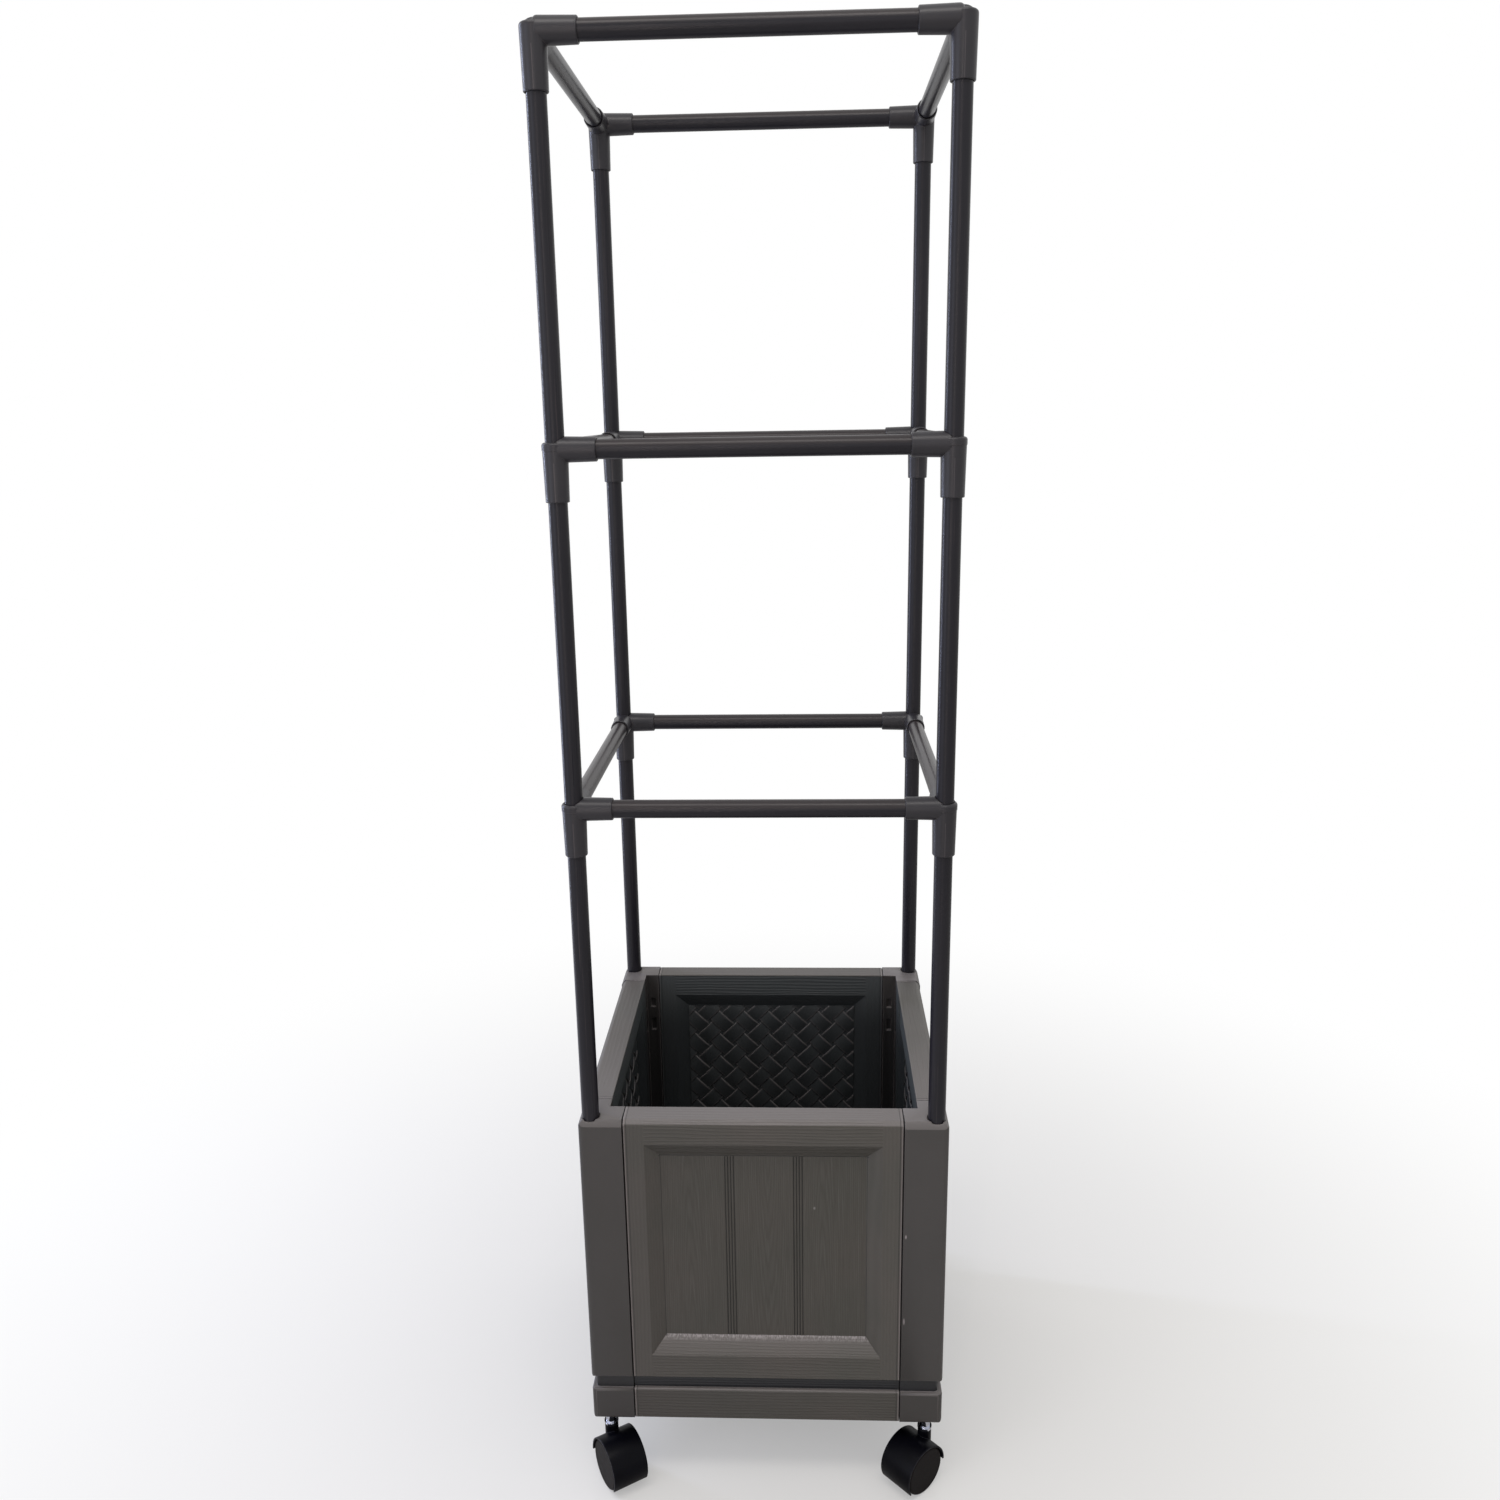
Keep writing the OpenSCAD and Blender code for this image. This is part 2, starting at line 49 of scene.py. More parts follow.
pitch, yaw, roll = (math.radians(a) for a in (14.875, -2.473, -0.908))
camera_place = (0.0387, -1.2039, 1.0289)
camera_data = bpy.data.cameras.new("camera")
camera_data.sensor_width = 36
camera_data.lens = 30.408
camera = bpy.data.objects.new("camera", camera_data)
camera.matrix_world = (Matrix.Translation(camera_place) @ Matrix.Rotation(-yaw, 4, "Z")
                       @ Matrix.Rotation(math.pi / 2 - pitch, 4, "X")
                       @ Matrix.Rotation(roll, 4, "Z"))
bpy.context.scene.collection.objects.link(camera)
bpy.context.scene.camera = camera
bpy.context.scene.view_settings.view_transform = "Standard"


def linear(hex_colour):
    """The linear RGBA of an sRGB hex colour."""
    parts = [int(hex_colour[i:i + 2], 16) / 255 for i in (1, 3, 5)]
    return [p / 12.92 if p <= 0.04045 else ((p + 0.055) / 1.055) ** 2.4 for p in parts] + [1]


def add_node(tree, kind, settings, sockets):
    """Adds one shader node with its settings, and its sockets' values or links."""
    node = tree.nodes.new("ShaderNode" + kind)
    for name, value in settings.items():
        setattr(node, name, value)
    for name, value in sockets.items():
        if isinstance(value, bpy.types.NodeSocket):
            tree.links.new(value, node.inputs[name])
        else:
            node.inputs[name].default_value = value
    return node


def softbox(name, place, aim, width, height, watts, colour):
    """Stands a rectangular lamp at a place and turns it towards its aim."""
    light_data = bpy.data.lights.new(name, "AREA")
    light_data.shape = "RECTANGLE"
    light_data.size, light_data.size_y = width, height
    light_data.energy = watts
    light_data.color = linear(colour)[:3]
    light = bpy.data.objects.new(name, light_data)
    facing = (Vector(aim) - Vector(place)).to_track_quat("-Z", "Y")
    light.matrix_world = Matrix.Translation(place) @ facing.to_matrix().to_4x4()
    bpy.context.scene.collection.objects.link(light)


# Places and sizes are in metres. The side lights are cool and the other two a little warm.
softbox("overhead_softbox", (-0.15, -0.95, 2.7), (0, 0, 0.3), 1.6, 0.5, 17, "#fffaf6")
softbox("left_strip", (-1.5, 0.5, 1.0), (0, 0, 0.8), 0.1, 1.9, 18, "#d0dbff")
softbox("front_strip", (-0.3, -2.1, 1.0), (0, 0, 0.8), 0.04, 1.9, 5, "#fff0ea")
softbox("left_softbox", (-1.6, -1.35, 1.0), (0, 0, 0.8), 0.9, 1.9, 8, "#e2e8ff")

# The camera and the reflections see a white studio. A dome that dims downwards lights the object.
world = bpy.data.worlds.new("studio")
bpy.context.scene.world = world
world.use_nodes = True
tree = world.node_tree
tree.nodes.clear()
path = add_node(tree, "LightPath", {}, {})
seen = path.outputs["Is Camera Ray"]
for ray in ("Is Glossy Ray", "Is Transmission Ray"):
    seen = add_node(tree, "Math", {"operation": "MAXIMUM"}, {0: seen, 1: path.outputs[ray]})
    seen = seen.outputs[0]
aim = add_node(tree, "TexCoord", {}, {}).outputs["Generated"]
height = add_node(tree, "SeparateXYZ", {}, {0: aim}).outputs["Z"]
dome = add_node(tree, "MapRange", {}, {"Value": height, "To Min": 0.02, "To Max": 1.15})
level = add_node(tree, "Math", {"operation": "MAXIMUM"}, {0: seen, 1: dome.outputs[0]})
sky = add_node(tree, "Background", {}, {"Color": (1, 1, 1, 1), "Strength": level.outputs[0]})
add_node(tree, "OutputWorld", {}, {"Surface": sky.outputs[0]})


def new_material(name, **values):
    """A material, its node tree and its shader, with the values that are the same all over."""
    material = bpy.data.materials.new(name)
    material.use_nodes = True
    shader = material.node_tree.nodes["Principled BSDF"]
    for socket, value in values.items():
        shader.inputs[socket.replace("_", " ")].default_value = value
    return material, material.node_tree, shader


# Matt paint. To the camera it fades to plain white away from the object, where no shadow falls.
bpy.ops.object.select_all(action="DESELECT")
bpy.ops.mesh.primitive_plane_add(size=14)
floor = bpy.context.active_object
floor.name = "studio_floor"
paint, tree, surface = new_material("painted_floor", Base_Color=linear("#cfcdca"), Roughness=0.9,
                                    Specular_IOR_Level=0.1)
spot = add_node(tree, "TexCoord", {}, {}).outputs["Object"]
away = add_node(tree, "VectorMath", {"operation": "LENGTH"}, {0: spot})
fade = add_node(tree, "MapRange", {"interpolation_type": "SMOOTHSTEP"},
                {"Value": away.outputs["Value"], "From Min": 0.2, "From Max": 1.3, "To Min": 0.35})
seen = add_node(tree, "LightPath", {}, {}).outputs["Is Camera Ray"]
fade = add_node(tree, "Math", {"operation": "MULTIPLY"}, {0: fade.outputs[0], 1: seen})
glow = add_node(tree, "Emission", {}, {"Color": (1, 1, 1, 1), "Strength": 1})
blend = add_node(tree, "MixShader", {},
                 {0: fade.outputs[0], 1: surface.outputs[0], 2: glow.outputs[0]})
tree.links.new(blend.outputs[0], tree.nodes["Material Output"].inputs["Surface"])
floor.data.materials.append(paint)

# Posts, feet and floor tray: injection-moulded polypropylene, dark taupe, with a fine spark-eroded
# skin. It is smooth and satin, so broad faces stay even and edges catch a thin light line, which
# a painted highlight strengthens. Each foot plugs into its post, and the tray lies on the base
# rails.

corners = ("front_left", "front_right", "rear_right", "rear_left")
post_rounding = 0.0011
box_half, box_top = 0.171, 0.401
inside_reach = 0.1565  # what lies nearer than this to the middle is inside the box
seam_x, seam_half = 0.13, 0.0004  # a post ends here beside its panel
neck_z, neck_half = 0.1135, 0.0069
foot_top = neck_z - 0.007
# Painted shade: the inside is painted darker between these two heights.
shade_starts, shade_full = 0.398, 0.33  # the inside darkens down from one height to the other
left_shade_ramp = {"From Min": -0.17, "From Max": 0.17, "To Min": 0.25, "To Max": 0}

resin, tree, skin = new_material("moulded_polypropylene", IOR=1.49)
place = add_node(tree, "TexCoord", {}, {}).outputs["Object"]
at = add_node(tree, "SeparateXYZ", {}, {0: place})
spread = add_node(tree, "VectorMath", {"operation": "ABSOLUTE"}, {0: place})
spread = add_node(tree, "SeparateXYZ", {}, {0: spread.outputs[0]})
reach = add_node(tree, "Math", {"operation": "MAXIMUM"},
                 {0: spread.outputs["X"], 1: spread.outputs["Y"]})
flat = add_node(tree, "NewGeometry", {}, {}).outputs["Normal"]
upward = add_node(tree, "SeparateXYZ", {}, {0: flat}).outputs["Z"]
drift = add_node(tree, "TexNoise", {}, {"Vector": place, "Scale": 14, "Detail": 4})
tint = add_node(tree, "Mix", {"data_type": "RGBA"},
                {"Factor": drift.outputs["Fac"], "A": linear("#373533"), "B": linear("#423f3e")})
# What faces up is paler, with dust and a painted sheen of the light from above. Painted shade
# darkens the inside towards the floor.
dust_and_sheen = add_node(tree, "MapRange", {},
                {"Value": upward, "From Min": 0.25, "From Max": 0.75, "To Max": 0.85})
inside = add_node(tree, "Math", {"operation": "LESS_THAN"}, {0: reach.outputs[0], 1: inside_reach})
depth = add_node(tree, "MapRange", {"interpolation_type": "SMOOTHSTEP"},
                 {"Value": spread.outputs["Z"], "From Min": shade_starts, "From Max": shade_full,
                  "To Max": 0.8})
inside_shade = add_node(tree, "Math", {"operation": "MULTIPLY"},
                {0: inside.outputs[0], 1: depth.outputs[0]})
# Edges get a painted highlight: where the rounded normal leaves the flat one, the colour lifts.
soft_edge = add_node(tree, "Bevel", {"samples": 6}, {"Radius": 0.0015}).outputs[0]
bend = add_node(tree, "VectorMath", {"operation": "DOT_PRODUCT"}, {0: flat, 1: soft_edge})
moulding_edge_highlight = add_node(tree, "MapRange", {}, {"Value": bend.outputs["Value"], "From Min": 0.995,
                                        "From Max": 0.85, "To Max": 0.55})
# The end that faces a panel across the 0.5 mm seam is painted black, as the shade in the seam.
seam_shade = add_node(tree, "Math", {"operation": "MINIMUM"},
                {0: spread.outputs["X"], 1: spread.outputs["Y"]})
seam_shade = add_node(tree, "Math", {"operation": "COMPARE"},
                {0: seam_shade.outputs[0], 1: seam_x, 2: seam_half})
outside = add_node(tree, "Math", {"operation": "GREATER_THAN"},
                   {0: reach.outputs[0], 1: inside_reach})
seam_shade = add_node(tree, "Math", {"operation": "MULTIPLY"},
                {0: seam_shade.outputs[0], 1: outside.outputs[0]})
# The recessed neck is painted dark, as the shadow of what stands above it.
neck_shade = add_node(tree, "Math", {"operation": "COMPARE"},
                {0: at.outputs["Z"], 1: neck_z, 2: neck_half})
# The feet are darker, and the left side is painted darker than the right, as painted shade.
darkening = add_node(tree, "Math", {"operation": "LESS_THAN"}, {0: at.outputs["Z"], 1: foot_top})
darkening = add_node(tree, "Math", {"operation": "MULTIPLY"}, {0: darkening.outputs[0], 1: 0.3})
left_shade = add_node(tree, "MapRange", {}, {"Value": at.outputs["X"], **left_shade_ramp})
darkening = add_node(tree, "Math", {"operation": "ADD"}, {0: darkening.outputs[0], 1: left_shade.outputs[0]})
coats = [(dust_and_sheen, "#716c6b"), (inside_shade, "#0b0c0e"), (moulding_edge_highlight, "#7f7877"), (seam_shade, "#161514"),
         (neck_shade, "#131418"), (darkening, "#231e1c")]
# Two upright pale chips on the right front post, beside the seam.
for middle, size in (((0.1328, -0.171, 0.282), (0.001, 0.02, 0.0024)),
                     ((0.1324, -0.171, 0.189), (0.0009, 0.02, 0.004))):
    chip = add_node(tree, "VectorMath", {"operation": "SUBTRACT"}, {0: place, 1: middle})
    chip = add_node(tree, "VectorMath", {"operation": "DIVIDE"}, {0: chip.outputs[0], 1: size})
    chip = add_node(tree, "VectorMath", {"operation": "LENGTH"}, {0: chip.outputs[0]})
    chip = add_node(tree, "MapRange", {}, {"Value": chip.outputs["Value"], "From Min": 1.1,
                                           "From Max": 0.5, "To Max": 0.75})
    coats.append((chip, "#a39a9b"))
for coat, colour in coats:
    tint = add_node(tree, "Mix", {"data_type": "RGBA"},
                    {"Factor": coat.outputs[0], "A": tint.outputs[2], "B": linear(colour)})
# The spark-eroded skin has a grit of about 0.2 mm; it is drawn at 1.1 mm, so that it shows.
grit = add_node(tree, "TexNoise", {}, {"Vector": place, "Scale": 900, "Detail": 2})
spark = add_node(tree, "Bump", {}, {"Height": grit.outputs["Fac"], "Distance": 0.00005,
                                    "Strength": 0.6, "Normal": soft_edge})
sheen = add_node(tree, "MapRange", {},
                 {"Value": drift.outputs["Fac"], "To Min": 0.4, "To Max": 0.55})
tree.links.new(tint.outputs[2], skin.inputs["Base Color"])
tree.links.new(sheen.outputs[0], skin.inputs["Roughness"])
tree.links.new(spark.outputs[0], skin.inputs["Normal"])


def round_edges(node, body, material, radius, test):
    """Stands a copy of a CAD node in its place, with the sharp edges that pass the test rounded."""
    piece = bpy.data.objects.new(node + "_moulding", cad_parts[node].data.copy())
    bpy.context.scene.collection.objects.link(piece)
    bpy.ops.object.select_all(action="DESELECT")
    piece.select_set(True)
    bpy.context.view_layer.objects.active = piece
    bpy.ops.object.mode_set(mode="EDIT")
    bpy.ops.mesh.select_mode(type="VERT")
    bpy.ops.mesh.select_all(action="SELECT")
    bpy.ops.mesh.remove_doubles(threshold=0.000002)
    bpy.ops.mesh.dissolve_limited(angle_limit=math.radians(0.6))
    bpy.ops.object.mode_set(mode="OBJECT")
    weights = piece.data.attributes.new(name="bevel_weight_edge", type="FLOAT", domain="EDGE")
    shape = bmesh.new()
    shape.from_mesh(piece.data)
    for edge in shape.edges:
        middle = (edge.verts[0].co + edge.verts[1].co) / 2
        weights.data[edge.index].value = test(middle, edge)
    shape.free()
    rounding = piece.modifiers.new("rounding", "BEVEL")
    rounding.width, rounding.segments, rounding.limit_method = radius, 3, "WEIGHT"
    bpy.ops.object.modifier_apply(modifier="rounding")
    bpy.ops.object.shade_smooth_by_angle(angle=math.radians(30))
    piece.data.materials.clear()
    piece.data.materials.append(material)
    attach(piece, body)
    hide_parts(node)


def is_outer_edge(middle, edge):
    """True for the convex edges of a post or foot that show, but not at the panels' seams."""
    away, near = max(abs(middle.x), abs(middle.y)), min(abs(middle.x), abs(middle.y))
    outer, brim = away > box_half - 0.0035, middle.z > box_top - 0.0025
    shows = near > seam_x + 0.0005 and (outer or brim)
    return shows and edge.is_convex and edge.calc_face_angle() > math.radians(20)


def dress(node, material):
    """Gives a CAD node a better material in each of its slots."""
    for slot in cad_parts[node].material_slots:
        slot.material = material


for corner in corners:
    for moulding in ("post_", "foot_"):
        round_edges(moulding + corner, "planter", resin, post_rounding, is_outer_edge)
dress("floor_tray", resin)

# Panels: two-sided polypropylene mouldings with a wood-grain skin. Outside, three planks divided by
# reeded beads lie in a bevelled frame; inside, a diagonal basket weave does. Tongues on their ends
# stand in slots of the posts.

sides = ("front", "right", "rear", "left")
panel_low, panel_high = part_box("panel_front")
face_y, back_y, panel_top = panel_low.y, panel_high.y, panel_high.z
middle_y, thick = (face_y + back_y) / 2, back_y - face_y
panel_half, panel_tall = 0.1295, 0.2805
panel_bottom = panel_top - panel_tall
stile, rail = 0.019, 0.025
side_bevel, rail_bevel, brim_bevel, arris = 0.014, 0.017, 0.0038, 0.0007
plank_depth, weave_depth = 0.010, 0.009
field_half = panel_half - stile - side_bevel
field_low, field_high = panel_bottom + rail + rail_bevel, panel_top - rail - rail_bevel
field_mid = (field_low + field_high) / 2
field_tall = field_high - field_low
slack, hair = 1e-4, 1e-5  # how far off a picked face or edge may lie, in metres


def pick(piece, kind, test):
    """In edit mode, selects only the faces, edges or vertices whose middle passes the test."""
    bpy.ops.mesh.select_mode(type=kind)
    bpy.ops.mesh.select_all(action="DESELECT")
    shape = bmesh.from_edit_mesh(piece.data)
    for item in {"FACE": shape.faces, "EDGE": shape.edges, "VERT": shape.verts}[kind]:
        if kind == "FACE":
            middle = item.calc_center_median()
        elif kind == "EDGE":
            middle = (item.verts[0].co + item.verts[1].co) / 2
        else:
            middle = item.co
        item.select_set(bool(test(middle, item)))
    shape.select_flush_mode()
    bmesh.update_edit_mesh(piece.data)


def saw(place, direction, **ends):
    """Cuts the selected faces along a plane."""
    bpy.ops.mesh.bisect(plane_co=place, plane_no=direction, **ends)


def start_cube(name, middle, size):
    """Adds a block at its place and leaves it in edit mode."""
    bpy.ops.object.select_all(action="DESELECT")
    bpy.ops.mesh.primitive_cube_add(size=1, location=middle, scale=size)
    piece = bpy.context.active_object
    bpy.ops.object.transform_apply(location=True, rotation=True, scale=True)
    piece.name = piece.data.name = name
    bpy.ops.object.mode_set(mode="EDIT")
    return piece


panel = start_cube("panel_blank", (0, middle_y, panel_bottom + panel_tall / 2),
                   (2 * panel_half, thick, panel_tall))
pick(panel, "EDGE", lambda m, e: abs(m.z - panel_top) < slack and abs(m.y - face_y) < slack)
bpy.ops.mesh.bevel(offset=brim_bevel, segments=1)
pick(panel, "EDGE", lambda m, e: abs(abs(m.x) - panel_half) < slack
     or (abs(m.x) < slack and (m.z < panel_bottom + slack or abs(m.z - panel_top) < 0.005)))
bpy.ops.mesh.bevel(offset=arris, segments=2)
for x in (-1, 1):
    bpy.ops.mesh.select_all(action="SELECT")
    saw((x * (panel_half - stile), 0, 0), (1, 0, 0))
for z in (panel_bottom + rail, panel_top - rail):
    bpy.ops.mesh.select_all(action="SELECT")
    saw((0, 0, z), (0, 0, 1))
for outer_y, depth in ((face_y, plank_depth), (back_y, -weave_depth)):
    pick(panel, "FACE", lambda m, f: abs(m.y - outer_y) < slack
         and abs(m.x) < stile and abs(m.z - field_mid) < stile)
    bpy.ops.mesh.extrude_region_move(TRANSFORM_OT_translate={"value": (0, depth, 0)})
    bpy.ops.transform.resize(value=(field_half / (panel_half - stile), 1,
                                    field_tall / (panel_tall - 2 * rail)),
                             center_override=(0, outer_y + depth, field_mid))

# The beads: four grooves side by side between two planks. Five cuts shape each, and the lines
# between its rims drop to 0.8 and 1 of its radius, as on a half round.
groove_pitch, groove_r = 0.0027, 0.0006
bead_middles = (-field_half / 3, field_half / 3)
plank_y = face_y + plank_depth
groove_middles = [bead + (k - 1.5) * groove_pitch for bead in bead_middles for k in range(4)]
for middle in groove_middles:
    for x in (-groove_r, -0.6 * groove_r, 0, 0.6 * groove_r, groove_r):
        pick(panel, "FACE", lambda m, f: abs(m.y - plank_y) < 2 * slack and abs(f.normal.y) > 0.9)
        saw((middle + x, 0, 0), (1, 0, 0))
for x, drop in ((0, groove_r), (0.6 * groove_r, 0.8 * groove_r)):
    pick(panel, "VERT", lambda m, v: abs(m.y - plank_y) < slack
         and any(abs(abs(m.x - middle) - x) < hair for middle in groove_middles))
    bpy.ops.transform.translate(value=(0, drop, 0))
bpy.ops.object.mode_set(mode="OBJECT")

# Grain runs up the stiles and planks, and along the rails. The grain map's first number is the
# distance across the grain and its second the distance along it, in metres. Each member starts
# elsewhere on the pattern, and the pattern carries on round the edges. The border map holds the
# distance from the middle, and the half length plus 0 for a rail, 1 for a plank or 2 for a stile.
wrap, member_shift, back_shift = 0.8, 0.7, 0.35
grain = panel.data.uv_layers.new(name="grain")
border = panel.data.uv_layers.new(name="border")
across_x, core_y = panel_half - stile, plank_y + 0.005
# The arches of each plank's grain nest round a point across and up the board.
plank_heart = ((0.006, field_low - 0.03), (-0.004, field_high + 0.02), (0.009, field_low + 0.01))
for face in panel.data.polygons:
    m = face.center
    in_field = (panel_bottom + rail < m.z < panel_top - rail and abs(face.normal.z) < 0.3
                and (abs(m.x) < field_half or abs(face.normal.x) > 0.3))
    upright = abs(m.x) > across_x - slack or in_field
    if abs(m.x) > across_x:
        member = 3 if m.x > 0 else 4
    elif upright and abs(m.y - plank_y) < 0.002:
        member = 5 + (m.x > bead_middles[0]) + (m.x > bead_middles[1])
    elif upright:
        member = 8 if m.x > 0 else 9
    else:
        member = 1 if m.z > field_mid else 2
    plank = member in (5, 6, 7) and m.y < core_y
    kind = 1 if plank else 2 if upright else 0
    shift = member_shift * member + (back_shift if m.y > core_y else 0)
    for loop in face.loop_indices:
        p = panel.data.vertices[panel.data.loops[loop].vertex_index].co
        border.data[loop].uv = (p.x, panel_half + kind)
        if plank:
            middle = (member - 6) * 2 * field_half / 3
            heart_x, heart_z = plank_heart[member - 5]
            grain.data[loop].uv = (p.x - middle + heart_x, p.z - heart_z)
        elif upright:
            grain.data[loop].uv = (p.x + wrap * (p.y - face_y) + shift, p.z)
        else:
            grain.data[loop].uv = (p.z + wrap * (p.y - face_y) + shift, p.x)

# One strip of the weave arches over the strip that it crosses.
strip_pitch, strip_wide, strip_rise, strip_gap = 0.0205, 0.016, 0.002, 0.0006
weave_top, arch_steps = 0.021, 8
strip_long = 2 * strip_pitch - strip_wide - strip_gap
weave_y = back_y - weave_depth
strip = start_cube("weave_strip", (0, 0, 0), (strip_long, 2 * strip_rise, strip_wide))
for k in range(1, arch_steps):
    bpy.ops.mesh.select_all(action="SELECT")
    saw(((k / arch_steps - 0.5) * strip_long, 0, 0), (1, 0, 0))
pick(strip, "VERT", lambda m, v: m.y > 0)
bpy.ops.transform.translate(value=(0, -strip_rise, 0))
for k in range(1, arch_steps):
    x = (k / arch_steps - 0.5) * strip_long
    pick(strip, "VERT", lambda m, v: m.y > -slack and abs(m.x - x) < hair)
    bpy.ops.transform.translate(value=(0, strip_rise * (1 - (2 * x / strip_long) ** 2), 0))
pick(strip, "EDGE", lambda m, e: m.y > -slack and abs(abs(m.z) - strip_wide / 2) < hair)
bpy.ops.mesh.bevel(offset=arris, segments=2)
pick(strip, "FACE", lambda m, f: f.normal.y < -0.9)
bpy.ops.mesh.delete(type="FACE")
bpy.ops.object.mode_set(mode="OBJECT")
grain = strip.data.uv_layers.new(name="grain")
border = strip.data.uv_layers.new(name="border")
for face in strip.data.polygons:
    for loop in face.loop_indices:
        p = strip.data.vertices[strip.data.loops[loop].vertex_index].co
        grain.data[loop].uv = (p.z, p.x)
        border.data[loop].uv = (p.z, strip_wide / 2)

# The strips lie at 45 degrees, turned about in a chequer, and each starts elsewhere on the grain.
# The frame of the sunk field trims the outermost ones.
step = strip_pitch / math.sqrt(2)
overlap = 0.7 * strip_pitch
cells = math.ceil((field_half + field_tall / 2) / step)
strips = []
for i in range(-cells, cells + 1):
    for j in range(-cells, cells + 1):
        x, z = (i + j) * step, field_high - weave_top + (i - j) * step
        if abs(x) < field_half + overlap and abs(z - field_mid) < field_tall / 2 + overlap:
            one = bpy.data.objects.new("weave_cell", strip.data.copy())
            turn = math.radians(-45 if (i + j) % 2 == 0 else 45)
            one.data.transform(Matrix.Translation((x, weave_y, z)) @ Matrix.Rotation(turn, 4, "Y"))
            for spot in one.data.uv_layers["grain"].data:
                spot.uv = spot.uv + Vector((0.11 * i + 3 * (turn > 0), 0.13 * j))
            bpy.context.scene.collection.objects.link(one)
            strips.append(one)
bpy.data.objects.remove(strip)
bpy.ops.object.select_all(action="DESELECT")
for one in strips:
    one.select_set(True)
bpy.context.view_layer.objects.active = strips[0]
bpy.ops.object.join()
weave = bpy.context.active_object
bpy.ops.object.mode_set(mode="EDIT")
for place, direction in (((field_half, 0, 0), (1, 0, 0)), ((-field_half, 0, 0), (-1, 0, 0)),
                         ((0, 0, field_high), (0, 0, 1)), ((0, 0, field_low), (0, 0, -1))):
    bpy.ops.mesh.select_all(action="SELECT")
    saw(place, direction, clear_outer=True)
bpy.ops.object.mode_set(mode="OBJECT")

bpy.ops.object.select_all(action="DESELECT")
panel.select_set(True)
weave.select_set(True)
bpy.context.view_layer.objects.active = panel
bpy.ops.object.join()

# The wood-grain skin is eroded into the mould: wavy fibres at a 3 mm pitch with finer pores
# between, and a smooth border strip of 3 mm at each end, which a fine line parts from the grain. It
# breaks the light up along the fibres, and leaves the borders even and satin.
border_wide, bevel_end = 0.0031, 0.0327  # from a panel's end to its grain and to its planks
bevel_reach, groove_reach = 0.1602, 0.1583  # from the box's middle to the bevels' foot and grooves
grained, tree, skin = new_material("grained_polypropylene", IOR=1.49)
place = add_node(tree, "TexCoord", {}, {}).outputs["Object"]
at = add_node(tree, "SeparateXYZ", {}, {0: place})
spread = add_node(tree, "VectorMath", {"operation": "ABSOLUTE"}, {0: place})
spread = add_node(tree, "SeparateXYZ", {}, {0: spread.outputs[0]})
reach = add_node(tree, "Math", {"operation": "MAXIMUM"},
                 {0: spread.outputs["X"], 1: spread.outputs["Y"]})
flat = add_node(tree, "NewGeometry", {}, {}).outputs["Normal"]
upward = add_node(tree, "SeparateXYZ", {}, {0: flat}).outputs["Z"]
fibre_map = add_node(tree, "UVMap", {"uv_map": "grain"}, {}).outputs[0]
border_map = add_node(tree, "UVMap", {"uv_map": "border"}, {}).outputs[0]
border = add_node(tree, "SeparateXYZ", {}, {0: border_map})
from_middle = add_node(tree, "Math", {"operation": "ABSOLUTE"}, {0: border.outputs["X"]})
kind = add_node(tree, "Math", {"operation": "FLOOR"}, {0: border.outputs["Y"]}).outputs[0]
length = add_node(tree, "Math", {"operation": "SUBTRACT"}, {0: border.outputs["Y"], 1: kind})
from_end = add_node(tree, "Math", {"operation": "SUBTRACT"},
                    {0: length.outputs[0], 1: from_middle.outputs[0]}).outputs[0]
is_strip = add_node(tree, "Math", {"operation": "LESS_THAN"},
                    {0: border.outputs["Y"], 1: 0.02}).outputs[0]
drift = add_node(tree, "TexNoise", {}, {"Vector": place, "Scale": 11, "Detail": 4})
along = add_node(tree, "Mapping", {}, {"Vector": fibre_map, "Scale": (1, 0.13, 1)})
fibres = add_node(tree, "TexWave", {"wave_type": "BANDS", "bands_direction": "X"},
                  {"Vector": along.outputs[0], "Scale": 92, "Distortion": 9, "Detail": 4,
                   "Detail Scale": 0.5})
# On a plank the fibres nest in long arches round its heart, as on a flat-sawn board, and are
# shallower.
along = add_node(tree, "Mapping", {}, {"Vector": fibre_map, "Scale": (1, 0.05, 1)})
arches = add_node(tree, "TexWave", {"wave_type": "RINGS", "rings_direction": "Z"},
                  {"Vector": along.outputs[0], "Scale": 84, "Distortion": 10, "Detail": 4,
                   "Detail Scale": 0.35})
is_plank = add_node(tree, "Math", {"operation": "COMPARE"}, {0: kind, 1: 1, 2: 0.1}).outputs[0]
arches = add_node(tree, "MapRange", {},
                  {"Value": arches.outputs["Fac"], "To Min": 0.5, "To Max": 0.85})
fibres = add_node(tree, "Mix", {"data_type": "FLOAT"},
                  {"Factor": is_plank, "A": fibres.outputs["Fac"], "B": arches.outputs[0]})
along = add_node(tree, "Mapping", {}, {"Vector": fibre_map, "Scale": (1, 0.03, 1)})
pores = add_node(tree, "TexNoise", {}, {"Vector": along.outputs[0], "Scale": 640, "Detail": 2})
relief = add_node(tree, "Mix", {"data_type": "FLOAT"},
                  {"Factor": 0.35, "A": fibres.outputs[0], "B": pores.outputs["Fac"]})
